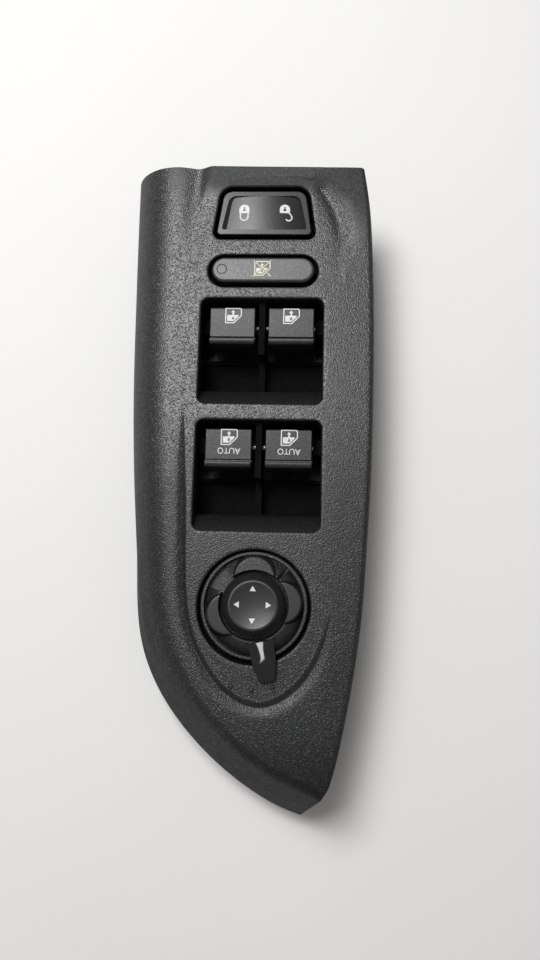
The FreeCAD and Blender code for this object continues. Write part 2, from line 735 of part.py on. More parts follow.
def lock_rocker():
    """Rocking cap: flat rim round a face with a soft ridge across its middle."""
    outline = lock_outline().makeOffset2D(-ROCKER_GAP)
    cap = slab(outline, -9.0, ROCKER_TOP)
    cap = cap.makeFillet(0.5, top_edges(cap, ROCKER_TOP))
    middle = (LOCK_FRONT + LOCK_REAR) / 2
    dish_floor = ROCKER_TOP - ROCKER_DISH
    rim = ROCKER_GAP + 2.2
    y0 = LOCK_FRONT + rim
    y1 = LOCK_REAR - rim
    reach = LOCK_FRONT_HALF - rim
    high = ROCKER_TOP + 2.0
    bed = plan([(-reach + 2.2, y0, 0.6), (reach - 2.2, y0, 0.6), (reach - 5.2, y1, 3.0), (-reach + 5.2, y1, 3.0)])
    brink = plan([(-reach, y0, 0.8), (reach, y0, 0.8), (reach - 3.0, y1, 3.2), (-reach + 3.0, y1, 3.2)])
    bed.translate(UP * dish_floor)
    brink.translate(UP * (ROCKER_TOP + 0.01))
    dish = Part.makeLoft([bed, brink], True, True)
    ridge = Part.Arc(Vec(-reach, y0 - 1, dish_floor), Vec(0, y0 - 1, ROCKER_TOP - 0.05),
                     Vec(reach, y0 - 1, dish_floor))
    room = Part.Wire([
        ridge.toShape(),
        Part.LineSegment(Vec(reach, y0 - 1, dish_floor), Vec(reach, y0 - 1, high)).toShape(),
        Part.LineSegment(Vec(reach, y0 - 1, high), Vec(-reach, y0 - 1, high)).toShape(),
        Part.LineSegment(Vec(-reach, y0 - 1, high), Vec(-reach, y0 - 1, dish_floor)).toShape(),
    ])
    dish = dish.common(Part.Face(room).extrude(ALONG_Y * (y1 - y0 + 2)))
    cap = cap.cut(dish)
    cap = cap.cut(grown_slab(outline, -KEY_WALL, -10.0, dish_floor - KEY_WALL))
    adds = [
        rod_y(LOCK_FRONT - 2.0, LOCK_FRONT + ROCKER_GAP + 1.0, 0.0, ROCKER_PIVOT_Z, ROCKER_PIN),
        rod_y(LOCK_REAR - ROCKER_GAP - 1.0, UNIT_REAR - 1.2, 0.0, ROCKER_PIVOT_Z, ROCKER_PIN),
    ]
    half = FOOT_SIZE / 2
    for x in (-ROCKER_FOOT, ROCKER_FOOT):
        adds.append(block(x - half, x + half, middle - half, middle + half,
                          DOME_TOP + FOOT_GAP, dish_floor - KEY_WALL + 0.5))
    return cap.multiFuse(adds).removeSplitter()


# Lock-out button

def button_outline():
    return stadium(0.0, LOCKOUT_Y, LOCKOUT_LENGTH - 2 * BUTTON_GAP, LOCKOUT_WIDTH - 2 * BUTTON_GAP)


def lockout_button():
    outline = button_outline()
    cap = slab(outline, -10.5, BUTTON_TOP)
    cap = cap.makeFillet(1.1, top_edges(cap, BUTTON_TOP))
    cap = cap.cut(grown_slab(outline, -KEY_WALL, -11.0, BUTTON_TOP - 2.2))
    half = FOOT_SIZE / 2
    foot = block(-half, half, LOCKOUT_Y - half, LOCKOUT_Y + half, DOME_TOP + FOOT_GAP, BUTTON_TOP - 2.0)
    sleeve = rod_z(LENS_X, LOCKOUT_Y, -9.0, BUTTON_TOP - 2.0, LENS_RADIUS + 0.9)
    cap = cap.multiFuse([foot, sleeve])
    cap = cap.cut(rod_z(LENS_X, LOCKOUT_Y, -12.0, BUTTON_TOP + 1, LENS_RADIUS + FIT))
    return cap.removeSplitter()


def indicator_lens():
    lens = rod_z(LENS_X, LOCKOUT_Y, -12.0, BUTTON_TOP, LENS_RADIUS)
    return lens.makeFillet(0.35, top_edges(lens, BUTTON_TOP))


# Mirror selector

def turning_section():
    """Section of the selector ring, which the fixed petal's root repeats."""
    return [
        (RING_INNER, RING_LOW), (RING_INNER, -0.9), (RING_INNER + 0.3, -0.6), (RING_INNER + 0.9, -0.6),
        (RING_OUTER - 0.4, -3.4), (RING_OUTER, -3.8), (RING_OUTER, RING_LOW),
    ]


def crescent_petal(angle, start, end):
    """Raised thumb petal: a round hill cut off by the knob's clearance circle and by two angles."""
    low = RING_LOW + 1.0
    hill = Part.makeCone(PETAL_RADIUS + 1.4, PETAL_RADIUS - 0.3, PETAL_TOP - low, Vec(0, 0, low), UP)
    hill = hill.makeFillet(0.8, top_edges(hill, PETAL_TOP))
    hill.translate(Vec(PETAL_CENTRE, MIRROR_Y, 0))
    hill.rotate(Vec(0, MIRROR_Y, 0), UP, angle)
    return hill.common(mirror_sector(RING_INNER + 0.2, RING_OUTER, start, end, low, 3.0))


def mirror_base():
    """Fixed cup with a bearing tube in its middle and the upper thumb petal."""
    inside = RING_OUTER + 0.4
    cup = mirror_turned([
        (inside, CUP_FLOOR), (inside, RIM_TOP), (RIM_OUTER - 0.5, RIM_TOP), (RIM_OUTER, RIM_TOP - 0.5),
        (RIM_OUTER, DECK_TOP), (inside + 0.7, DECK_TOP), (inside + 0.7, -13.0), (inside, -13.0),
        (inside, CUP_BOTTOM), (TUBE_OUTER, CUP_BOTTOM), (TUBE_OUTER, -16.0), (TUBE_INNER, -16.0),
        (TUBE_INNER, -3.4), (TUBE_OUTER, -3.4), (TUBE_OUTER, CUP_FLOOR),
    ])
    embed = CUP_FLOOR - 0.5
    crest = turning_section()[1:-2]
    root = [(RING_INNER, embed)] + crest + [(inside + 0.2, -3.8), (inside + 0.2, embed)]
    start, end = 90 - BASE_PETAL_HALF, 90 + BASE_PETAL_HALF
    base = cup.multiFuse([mirror_turned(root, start, end), crescent_petal(90.0, start, end)])
    lowest = -90 + SELECTOR_REST - SELECTOR_TRAVEL - 10.0
    highest = -90 + SELECTOR_REST + 10.0
    base = base.cut(mirror_sector(13.6, 17.0, lowest, highest, CUP_BOTTOM - 1, CUP_FLOOR + 0.2))
    base = base.cut(rod_y(MIRROR_Y - TUBE_OUTER - 1, MIRROR_Y + TUBE_OUTER + 1, 0.0, GIMBAL_Z, GIMBAL_PIN + FIT))
    return base.removeSplitter()


def pointer_lever():
    """Glossy pointer: a narrow ridge from the ring that spreads into a paddle over the rim."""
    ridge_profile = [
        (RING_INNER + 0.3, -4.0, 0), (RING_INNER + 0.3, -0.7, 0.4), (16.0, 0.4, 2.0), (20.5, 2.4, 2.0),
        (LEVER_REACH - 2.6, 2.6, 0.8), (LEVER_REACH - 1.2, 1.8, 0.5), (LEVER_REACH - 1.2, 0.9, 0),
        (RIM_OUTER, 0.9, 0), (RING_OUTER - 0.1, -2.0, 0), (RING_OUTER - 0.1, -4.0, 0),
    ]
    ridge = prism_x([(MIRROR_Y - run, z, radius) for run, z, radius in ridge_profile], -1.2, 1.2)
    outline = plan([
        (-1.6, MIRROR_Y - 16.6, 0.6), (1.6, MIRROR_Y - 16.6, 0.6), (3.8, MIRROR_Y - 21.2, 3.0),
        (2.7, MIRROR_Y - LEVER_REACH, 1.4), (-2.7, MIRROR_Y - LEVER_REACH, 1.4), (-3.8, MIRROR_Y - 21.2, 3.0),
    ])
    paddle = slab(outline, 0.5, 2.2)
    paddle = paddle.makeFillet(1.0, top_edges(paddle, 2.2))
    return ridge.fuse(paddle)


def selector_ring():
    """Turning ring, open at the top, with two thumb petals, a leg and a pointer lever."""
    start, end = 90 + RING_OPEN_HALF, 450 - RING_OPEN_HALF
    ring = mirror_turned(turning_section(), start, end)
    leg = block(-1.2, 1.2, MIRROR_Y - 16.2, MIRROR_Y - 14.4, -24.6, -4.0)
    petals = [crescent_petal(angle, start, end) for angle in (-RING_PETAL_ANGLE, 180 + RING_PETAL_ANGLE)]
    ring = ring.multiFuse(petals + [pointer_lever(), leg])
    ring = ring.cut(mirror_sector(13.8, 16.8, 150, 215, RING_LOW - 1, CHANNEL_TOP))
    ring.rotate(Vec(0, MIRROR_Y, 0), UP, SELECTOR_REST)
    return ring.removeSplitter()


def selector_wiper():
    plate = block(-2.4, 2.4, MIRROR_Y - 17.1, MIRROR_Y - 13.5, -24.9, -24.6)
    fingers = [block(x - 0.6, x + 0.6, MIRROR_Y - 17.1, MIRROR_Y - 16.7, -25.8, -24.7) for x in (-1.6, 1.6)]
    wiper = fused(plate, *fingers)
    wiper.rotate(Vec(0, MIRROR_Y, 0), UP, SELECTOR_REST)
    return wiper


def selector_detent_spring():
    """Leaf spring with a raised nose, in the ring's channel."""
    leaf = prism_y([
        (-3.5, CUP_FLOOR, 0), (-3.5, CUP_FLOOR + 0.3, 0), (-1.6, CUP_FLOOR + 0.3, 0), (0.0, CUP_FLOOR + 1.2, 0.5),
        (1.6, CUP_FLOOR + 0.3, 0), (3.5, CUP_FLOOR + 0.3, 0), (3.5, CUP_FLOOR, 0), (1.5, CUP_FLOOR, 0),
        (0.0, CUP_FLOOR + 0.85, 0.3), (-1.5, CUP_FLOOR, 0),
    ], MIRROR_Y - 16.3, MIRROR_Y - 14.3)
    leaf.rotate(Vec(0, MIRROR_Y, 0), UP, 270.0)
    return leaf


def gimbal_ring():
    ring = tube(0.0, MIRROR_Y, GIMBAL_Z - 1.5, GIMBAL_Z + 1.5, GIMBAL_OUTER, GIMBAL_INNER)
    reach = GIMBAL_OUTER + 1
    ring = ring.cut(rod_y(MIRROR_Y - reach, MIRROR_Y + reach, 0.0, GIMBAL_Z, GIMBAL_PIN + RUN))
    return ring.cut(rod_x(-reach, reach, MIRROR_Y, GIMBAL_Z, GIMBAL_PIN + FIT))


def gimbal_side_pins():
    near = STEM_RADIUS - 1.6
    far = GIMBAL_OUTER - 0.2
    return Part.makeCompound([rod_x(-far, -near, MIRROR_Y, GIMBAL_Z, GIMBAL_PIN),
                              rod_x(near, far, MIRROR_Y, GIMBAL_Z, GIMBAL_PIN)])


def gimbal_end_pins():
    near = GIMBAL_INNER + 0.2
    far = TUBE_OUTER - 0.2
    return Part.makeCompound([rod_y(MIRROR_Y - far, MIRROR_Y - near, 0.0, GIMBAL_Z, GIMBAL_PIN),
                              rod_y(MIRROR_Y + near, MIRROR_Y + far, 0.0, GIMBAL_Z, GIMBAL_PIN)])


def mirror_knob():
    """Dished cap with a sloping skirt, on a stem that reaches down through the gimbal."""
    rim = KNOB_RADIUS - 0.8
    dish = Part.Arc(Vec(0, 0, KNOB_TOP - 0.9), Vec(rim / 2, 0, KNOB_TOP - 0.67), Vec(rim, 0, KNOB_TOP)).toShape()
    points = [
        Vec(rim, 0, KNOB_TOP), Vec(KNOB_RADIUS - 0.2, 0, KNOB_TOP - 0.05), Vec(KNOB_RADIUS + 0.1, 0, KNOB_TOP - 0.4),
        Vec(SKIRT_RADIUS, 0, -0.4), Vec(SKIRT_RADIUS, 0, -1.4), Vec(SKIRT_RADIUS - 1.6, 0, -1.4),
        Vec(KNOB_RADIUS - 0.6, 0, 1.4), Vec(STEM_RADIUS, 0, 1.4), Vec(STEM_RADIUS, 0, STEM_END),
        Vec(0, 0, STEM_END), Vec(0, 0, KNOB_TOP - 0.9),
    ]
    sides = [Part.LineSegment(a, b).toShape() for a, b in zip(points, points[1:])]
    profile = Part.Face(Part.Wire([dish] + sides))
    knob = profile.revolve(Vec(0, 0, 0), UP, 360)
    knob.translate(Vec(0, MIRROR_Y, 0))
    return knob.cut(rod_x(-6.0, 6.0, MIRROR_Y, GIMBAL_Z, GIMBAL_PIN + RUN))


def knob_tilt_plate():
    """Plate clipped to the end of the stem, with a foot over each of its four contacts."""
    plate = rod_z(0.0, MIRROR_Y, STEM_END - 2.2, STEM_END, KNOB_FOOT + 1.7)
    feet = []
    for x, y in ((KNOB_FOOT, 0), (-KNOB_FOOT, 0), (0, KNOB_FOOT), (0, -KNOB_FOOT)):
        feet.append(rod_z(x, MIRROR_Y + y, DOME_TOP + FOOT_GAP, STEM_END - 1.0, FOOT_SIZE / 2))
    return fused(plate, *feet)


def parts():
    upper, lower = window_middles()
    return {
        "fascia": fascia(),
        "fascia_clips": fascia_clips(),
        "switch_carrier": switch_carrier(),
        "carrier_screws": carrier_screws(),
        "rear_cover": rear_cover(),
        "cover_screws": cover_screws(),
        "circuit_board": circuit_board(),
        "connector_header": connector_header(),
        "connector_pins": connector_pins(),
        "controller_chip": controller_chip(),
        "dome_mat": dome_mat(),
        "backlight_leds": backlight_leds(),
        "key_axle_rear": key_axle(upper),
        "key_axle_front": key_axle(lower),
        "key_rear_left": window_key(upper, 1),
        "key_rear_right": window_key(upper, -1),
        "key_front_left": window_key(lower, 1),
        "key_front_right": window_key(lower, -1),
        "lock_rocker": lock_rocker(),
        "lockout_button": lockout_button(),
        "indicator_lens": indicator_lens(),
        "mirror_base": mirror_base(),
        "selector_ring": selector_ring(),
        "selector_wiper": selector_wiper(),
        "selector_detent_spring": selector_detent_spring(),
        "gimbal_ring": gimbal_ring(),
        "gimbal_side_pins": gimbal_side_pins(),
        "gimbal_end_pins": gimbal_end_pins(),
        "mirror_knob": mirror_knob(),
        "knob_tilt_plate": knob_tilt_plate(),
    }


def write(shapes):
    """Write each piece, with the origin under the middle of the panel, on the plane it rests on."""
    box = shapes["fascia"].optimalBoundingBox(False, False)
    shift = Vec(-(box.XMin + box.XMax) / 2, -(box.YMin + box.YMax) / 2, -COVER_BOTTOM)
    print("shift", round(shift.x, 3), round(shift.y, 3), round(shift.z, 3))
    os.makedirs("parts", exist_ok=True)
    for name, shape in shapes.items():
        shape.translate(shift)
        print(name, len(shape.Solids), "solids, valid" if shape.isValid() else "solids, INVALID",
              round(shape.Volume, 1))
        shape.exportStep("parts/" + name + ".step")


write(parts())
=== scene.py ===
import math

import bmesh
import bpy
import numpy as np
from mathutils import Matrix, Vector
from mathutils.bvhtree import BVHTree
from mathutils.geometry import delaunay_2d_cdt


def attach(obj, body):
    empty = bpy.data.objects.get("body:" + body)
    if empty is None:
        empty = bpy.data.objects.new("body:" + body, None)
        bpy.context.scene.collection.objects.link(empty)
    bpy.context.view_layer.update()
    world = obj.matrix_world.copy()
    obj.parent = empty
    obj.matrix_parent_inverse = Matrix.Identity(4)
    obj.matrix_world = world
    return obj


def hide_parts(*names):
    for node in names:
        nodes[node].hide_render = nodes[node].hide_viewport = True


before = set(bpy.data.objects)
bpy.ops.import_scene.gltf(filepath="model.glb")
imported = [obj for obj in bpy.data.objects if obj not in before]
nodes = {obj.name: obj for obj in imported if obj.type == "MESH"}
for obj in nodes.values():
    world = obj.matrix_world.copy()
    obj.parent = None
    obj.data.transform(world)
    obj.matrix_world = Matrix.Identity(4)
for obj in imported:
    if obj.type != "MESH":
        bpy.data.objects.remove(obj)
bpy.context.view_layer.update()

scene = bpy.context.scene
scene.view_settings.view_transform = "Standard"

# The panel lies on a pale table under one large soft box that hangs above its upper left, with an
# even white surround. The camera stands over the middle of it and leans a little to the right.
CAMERA_PLACE = (0.02404, -0.04515, 0.3129)
CAMERA_LENS = 27.72
CAMERA_RIGHT = Vector((0.9986, 0.0255, -0.0453))
CAMERA_UP = Vector((-0.0180, 0.9872, 0.1583))
CAMERA_BACK = Vector((0.0488, -0.1573, 0.9863))
TABLE_SIZE = 6.0
SURROUND = (0.50, 0.50, 0.50, 1.0)

camera_data = bpy.data.cameras.new("camera")
camera_data.sensor_width = 36.0
camera_data.lens = CAMERA_LENS
camera_data.clip_start = 0.01
camera_data.clip_end = 20.0
camera = bpy.data.objects.new("camera", camera_data)
scene.collection.objects.link(camera)
turn = Matrix((CAMERA_RIGHT, CAMERA_UP, CAMERA_BACK)).transposed()
camera.matrix_world = Matrix.Translation(CAMERA_PLACE) @ turn.to_4x4()
scene.camera = camera


def soft_box(name, towards, distance, width, height, watts):
    """Rectangular lamp that looks back at the panel from a direction."""
    lamp = bpy.data.lights.new(name, "AREA")
    lamp.shape = "RECTANGLE"
    lamp.size = width
    lamp.size_y = height
    lamp.energy = watts
    stand = bpy.data.objects.new(name, lamp)
    scene.collection.objects.link(stand)
    heading = Vector(towards).normalized()
    stand.location = Vector((0.0, 0.02, 0.03)) + heading * distance
    stand.rotation_euler = heading.to_track_quat("Z", "Y").to_euler()


soft_box("key_light", (-0.24, 0.37, 0.90), 0.9, 0.40, 0.40, 8.25)

world = bpy.data.worlds.new("surround")
scene.world = world
world.use_nodes = True


def feed(tree, socket, value):
    """Sets a node's input to a plain value, or links another node's output to it."""
    if isinstance(value, bpy.types.NodeSocket):
        tree.links.new(value, socket)
    else:
        socket.default_value = value


def node(tree, kind, settings=None, **values):
    """Shader node with attributes from settings, and inputs fed by name, spaces as underscores."""
    made = tree.nodes.new(kind)
    for key, value in (settings or {}).items():
        setattr(made, key, value)
    for key, value in values.items():
        feed(tree, made.inputs[key.replace("_", " ")], value)
    return made


def maths(tree, operation, first, second=None, clamp=False):
    """Result of a sum on two sockets or plain numbers."""
    made = node(tree, "ShaderNodeMath", {"operation": operation, "use_clamp": clamp})
    for socket, value in zip(made.inputs, (first, second)):
        if value is not None:
            feed(tree, socket, value)
    return made.outputs[0]


def pale_mix(tree, lit, pale, reach=None):
    """Shows the pale surround to the camera and to reflections within reach, and lights nothing."""
    path = node(tree, "ShaderNodeLightPath")
    seen = path.outputs["Is Camera Ray"]
    for ray in ("Is Glossy Ray", "Is Transmission Ray"):
        seen = maths(tree, "MAXIMUM", seen, path.outputs[ray])
    if reach is not None:
        seen = maths(tree, "MULTIPLY", seen, reach)
    mix = node(tree, "ShaderNodeMixShader", Fac=seen)
    tree.links.new(lit, mix.inputs[1])
    tree.links.new(pale, mix.inputs[2])
    return mix.outputs["Shader"]


tree = world.node_tree
back = tree.nodes["Background"]
back.inputs["Color"].default_value = (1.0, 0.97, 0.94, 1.0)
back.inputs["Strength"].default_value = 0.24
pale = node(tree, "ShaderNodeBackground", Color=SURROUND)
surface = pale_mix(tree, back.outputs["Background"], pale.outputs["Background"])
tree.links.new(surface, tree.nodes["World Output"].inputs["Surface"])


def new_object(name, points, faces, material=None):
    """Object in the scene with a mesh of its own, from points in metres."""
    mesh = bpy.data.meshes.new(name)
    mesh.from_pydata(points, [], faces)
    if material:
        mesh.materials.append(material)
    made = bpy.data.objects.new(name, mesh)
    scene.collection.objects.link(made)
    return made


half = TABLE_SIZE / 2
corners = [(-half, -half, 0.0), (half, -half, 0.0), (half, half, 0.0), (-half, half, 0.0)]
table = new_object("table", corners, [(0, 1, 2, 3)])


def new_material(name, colour, roughness, metallic=0.0):
    """Material with its shader set to plain values, and the tree to link details into."""
    made = bpy.data.materials.new(name)
    made.use_nodes = True
    made.diffuse_color = (*colour, 1.0)
    shader = made.node_tree.nodes["Principled BSDF"]
    shader.inputs["Base Color"].default_value = (*colour, 1.0)
    shader.inputs["Roughness"].default_value = roughness
    shader.inputs["Metallic"].default_value = metallic
    return made, made.node_tree, shader


def on_object(tree, *details):
    """Feeds the Object coordinates to textures and groups, and gives their socket back."""
    coords = node(tree, "ShaderNodeTexCoord").outputs["Object"]
    for detail in details:
        tree.links.new(coords, detail.inputs["Vector"])
    return coords


table_material, tree, shader = new_material("table_paper", (0.80, 0.80, 0.80), 0.85)
shader.inputs["Specular IOR Level"].default_value = 0.1
mottle = node(tree, "ShaderNodeTexNoise", Scale=6.0, Detail=3.0)
coords = on_object(tree, mottle)
tint = node(tree, "ShaderNodeMix", {"data_type": "RGBA"}, Factor=mottle.outputs["Fac"],
            A=(0.78, 0.78, 0.78, 1.0), B=(0.82, 0.82, 0.815, 1.0))
tree.links.new(tint.outputs["Result"], shader.inputs["Base Color"])
away = node(tree, "ShaderNodeVectorMath", {"operation": "LENGTH"}, Vector=coords)
reach = node(tree, "ShaderNodeMapRange", {"interpolation_type": "SMOOTHSTEP"},
             Value=away.outputs["Value"], From_Min=0.35, From_Max=1.3)
pale = node(tree, "ShaderNodeEmission", Color=SURROUND)
surface = pale_mix(tree, shader.outputs["BSDF"], pale.outputs["Emission"], reach.outputs["Result"])
tree.links.new(surface, tree.nodes["Material Output"].inputs["Surface"])
table.data.materials.append(table_material)

# The grain of the moulds: a fine texture eroded by sparks, the same on every grained surface but deeper
# on the fascia. It comes out of the tool as relief and a slight change of shade, and its brightest
# cells are painted lighter in the base colour as painted glints.


def group_tree(name, inputs, outputs):
    """Empty shader group with (name, kind, value) inputs and (name, kind) outputs."""
    tree = bpy.data.node_groups.new(name, "ShaderNodeTree")
    for label, kind, value in inputs:
        socket = tree.interface.new_socket(label, in_out="INPUT", socket_type=kind)
        if value is not None:
            socket.default_value = value
    for label, kind in outputs:
        tree.interface.new_socket(label, in_out="OUTPUT", socket_type=kind)
    return tree, tree.nodes.new("NodeGroupInput"), tree.nodes.new("NodeGroupOutput")


grain_group, into, out = group_tree(
    "spark_grain",
    [("Vector", "NodeSocketVector", None), ("Pitch", "NodeSocketFloat", 0.0007)],
    [("Height", "NodeSocketFloat"), ("Glint", "NodeSocketFloat")],
)
rate = maths(grain_group, "DIVIDE", 1.0, into.outputs["Pitch"])
spot = into.outputs["Vector"]
cells = node(grain_group, "ShaderNodeTexVoronoi", {"feature": "F1"}, Vector=spot, Scale=rate)
fine = node(grain_group, "ShaderNodeTexNoise", Vector=spot, Scale=rate, Detail=1.0, Roughness=0.6)
chance = node(grain_group, "ShaderNodeSeparateColor", Color=cells.outputs["Color"])
tall = maths(grain_group, "ADD", chance.outputs["Red"], 0.25)
dome = maths(grain_group, "SUBTRACT", 0.85, cells.outputs["Distance"])
dome = maths(grain_group, "MULTIPLY", dome, tall)
rubble = maths(grain_group, "MULTIPLY", fine.outputs["Fac"], 0.5)
height = maths(grain_group, "ADD", dome, rubble)
grain_group.links.new(height, out.inputs["Height"])
# The brightest cells: lower roughness makes them glint, and a lighter base colour paints glints on
# them.
painted_glint = maths(grain_group, "POWER", chance.outputs["Red"], 2.0)
painted_glint = maths(grain_group, "MULTIPLY", painted_glint, dome, clamp=True)
grain_group.links.new(painted_glint, out.inputs["Glint"])

shade_group, into, out = group_tree(
    "moulding_shade",
    [("Vector", "NodeSocketVector", None), ("Amount", "NodeSocketFloat", 0.1),
     ("Scale", "NodeSocketFloat", 30.0)],
    [("Shade", "NodeSocketFloat")],
)
flow = node(shade_group, "ShaderNodeTexNoise", Vector=into.outputs["Vector"],
            Scale=into.outputs["Scale"], Detail=4.0, Roughness=0.55)
drift = maths(shade_group, "SUBTRACT", flow.outputs["Fac"], 0.5)
drift = maths(shade_group, "MULTIPLY", drift, into.outputs["Amount"])
drift = maths(shade_group, "MULTIPLY", drift, 2.0)
drift = maths(shade_group, "ADD", drift, 1.0)
shade_group.links.new(drift, out.inputs["Shade"])


def placed_group(tree, group, **values):
    """Shader group set into a material with its own input values."""
    made = tree.nodes.new("ShaderNodeGroup")
    made.node_tree = group
    for key, value in values.items():
        made.inputs[key].default_value = value
    return made


def scaled_colour(tree, shader, colour, factor):
    """Feeds the shader a colour times a factor that changes over the surface."""
    tone = node(tree, "ShaderNodeVectorMath", {"operation": "SCALE"}, Vector=colour, Scale=factor)
    tree.links.new(tone.outputs["Vector"], shader.inputs["Base Color"])


def relief(tree, shader, height, strength, depth):
    """Feeds the shader a bump of a depth in metres."""
    bump = node(tree, "ShaderNodeBump", Strength=strength, Distance=depth, Height=height)
    tree.links.new(bump.outputs["Normal"], shader.inputs["Normal"])


def moulded(name, colour, roughness, pitch=0.0007, depth=0.00004, painted_glint=0.4, drift=0.12, level=0.5):
    """Moulded plastic: grain relief of a pitch and depth in metres, a slight drift of shade and painted
    glints.
    """
    made, tree, shader = new_material(name, colour, roughness)
    shader.inputs["Specular IOR Level"].default_value = level
    grain = placed_group(tree, grain_group, Pitch=pitch)
    shade = placed_group(tree, shade_group, Amount=drift)
    on_object(tree, grain, shade)
    # Painted glints: the base colour is lifted on the brightest grain cells.
    tone_and_glint = maths(tree, "MULTIPLY", grain.outputs["Glint"], painted_glint * 4.0)
    tone_and_glint = maths(tree, "ADD", tone_and_glint, 1.0 - painted_glint * 0.3)
    tone_and_glint = maths(tree, "MULTIPLY", tone_and_glint, shade.outputs["Shade"])
    scaled_colour(tree, shader, colour, tone_and_glint)
    gloss = maths(tree, "MULTIPLY", grain.outputs["Glint"], -0.5 * min(1.0, painted_glint))
    gloss = maths(tree, "ADD", gloss, 1.0 + 0.15 * min(1.0, painted_glint))
    gloss = maths(tree, "MULTIPLY", gloss, shade.outputs["Shade"])
    gloss = maths(tree, "MULTIPLY", gloss, roughness, clamp=True)
    tree.links.new(gloss, shader.inputs["Roughness"])
    relief(tree, shader, grain.outputs["Height"], 1.0, depth)
    return made


# Fascia: one moulding of black grained plastic, with a rolled shoulder down its left side, a raised
# head round the sunk island, and a groove round the island's lower end. Its openings have rounded
# brinks and short return walls. Bosses, clip rails, dots and the pit slopes are moulded on.

MM = 0.001
MIDDLE = (5.543, 25.15)
FACE_HEIGHT = 38.0


def place(x, y, z):
    """Point in metres, from millimetres off the middle of the window keys and the island's face."""
    return Vector(((x + MIDDLE[0]) * MM, (y + MIDDLE[1]) * MM, (z + FACE_HEIGHT) * MM))


# Each station has its right end and left end in plan, the run of the sloping skirt, the run to the
# shoulder's crest, and how far down the skirt the shoulder's round goes.
STATIONS = np.array([
    (39.6, 99.4, -55.0, 101.5, 1.5, 20.0, 18.0),
    (42.0, 84.0, -54.9, 84.0, 1.5, 20.0, 18.0),
    (43.1, 68.0, -54.7, 68.0, 1.5, 19.6, 18.0),
    (43.8, 45.0, -54.3, 45.0, 1.6, 19.0, 18.0),
    (43.8, 10.0, -53.4, 10.0, 2.0, 18.6, 17.5),
    (43.0, -25.0, -51.6, -25.0, 3.2, 18.3, 16.5),
    (41.3, -55.0, -49.3, -60.0, 5.8, 18.0, 14.0),
    (39.7, -77.0, -46.0, -88.3, 9.5, 18.3, 10.0),
    (37.8, -92.0, -38.2, -106.7, 12.8, 18.8, 7.0),
    (35.6, -105.7, -24.3, -124.5, 14.5, 19.0, 5.0),
    (32.8, -120.0, -3.4, -141.6, 15.5, 19.3, 4.5),
    (30.6, -129.5, 10.7, -149.1, 15.5, 18.6, 4.0),
    (28.8, -135.6, 18.6, -151.8, 13.6, 15.9, 2.6),
])
SKIRT_DROP = 24.0
FLANGE_DROP = 5.0
EDGE_RADIUS = 2.0
ROUND_POLE = 0.5523
HEAD_START = 45.0
HEAD_RADIUS = 492.0
SHARES = ((0.0, 0.33), (0.10, 0.03), (0.19, 0.75), (1.0, 1.0))
BRINK = 0.8
GRID = 1.0
SHELL = 2.2
GROOVE = [
    (-29.7, 26.0), (-29.5, 10.3), (-29.1, -3.6), (-28.6, -19.3), (-27.9, -34.6), (-27.3, -49.8),
    (-26.7, -63.0), (-25.6, -74.0), (-23.5, -83.0), (-20.8, -89.9), (-17.4, -95.8), (-12.7, -102.1),
    (-7.6, -106.2), (-2.3, -108.8), (2.9, -109.6), (8.0, -108.5), (13.0, -105.7), (17.1, -102.2),
    (20.5, -98.0), (23.6, -92.6), (26.0, -86.5), (27.7, -79.0), (28.9, -68.0),
]
GROOVE_DEPTH = 1.15
GROOVE_ROWS = (-3.1, -2.4, -1.8, -1.3, -0.9, -0.5, -0.2, 0.1, 0.4, 0.8, 1.2, 1.6, 1.9, 2.2, 2.6, 3.1)
POCKET_ROWS = (-0.7, -0.3, 0.0, 0.35, 0.8, 1.3, 1.8, 2.4)
RIGHT_DIP = [
    (19.5, 94.2), (22.6, 92.0), (25.0, 89.2), (27.4, 85.0), (29.4, 79.0), (31.0, 71.4), (32.0, 63.0),
    (32.6, 55.0),
]
LEFT_DIP = [(-25.4, 99.5), (-27.3, 93.5), (-28.5, 86.8), (-29.0, 78.1), (-29.0, 69.6), (-28.6, 58.0)]


def spline(keys, rows):
    """Natural cubic spline through rows at keys, as a function of one key or an array of them."""
    keys, rows = np.asarray(keys, float), np.asarray(rows, float)
    gap = np.diff(keys)
    count = len(keys)
    system = np.eye(count)
    right = np.zeros_like(rows)
    for i in range(1, count - 1):
        system[i, i - 1:i + 2] = gap[i - 1], 2 * (gap[i - 1] + gap[i]), gap[i]
        right[i] = 6 * ((rows[i + 1] - rows[i]) / gap[i] - (rows[i] - rows[i - 1]) / gap[i - 1])
    bend = np.linalg.solve(system, right)

    def at(key):
        key = np.asarray(key, float)
        i = np.clip(np.searchsorted(keys, key) - 1, 0, count - 2)
        h = gap[i]
        a, b = (keys[i + 1] - key) / h, (key - keys[i]) / h
        if rows.ndim > 1:
            a, b, h = a[..., None], b[..., None], h[..., None]
        return (a * rows[i] + b * rows[i + 1]
                + ((a ** 3 - a) * bend[i] + (b ** 3 - b) * bend[i + 1]) * h * h / 6)
    return at


def ease(low, high, value):
    """Smooth step from 0 at low to 1 at high."""
    share = np.clip((value - low) / (high - low), 0.0, 1.0)
    return share * share * (3 - 2 * share)


def soft_max(a, b, radius):
    """The larger of two values, rounded where they cross."""
    return 0.5 * (a + b + np.sqrt((a - b) ** 2 + radius * radius))


left_steps, right_steps = (np.hypot(*np.diff(STATIONS[:, k:k + 2], axis=0).T) for k in (2, 0))
station_keys = np.concatenate([[0.0], np.cumsum((left_steps + right_steps) / 2)])
station_at = spline(station_keys, STATIONS)
left_edge = spline(STATIONS[::-1, 3], STATIONS[::-1, 2] + STATIONS[::-1, 5])
right_edge = spline(STATIONS[::-1, 1], STATIONS[::-1, 0])


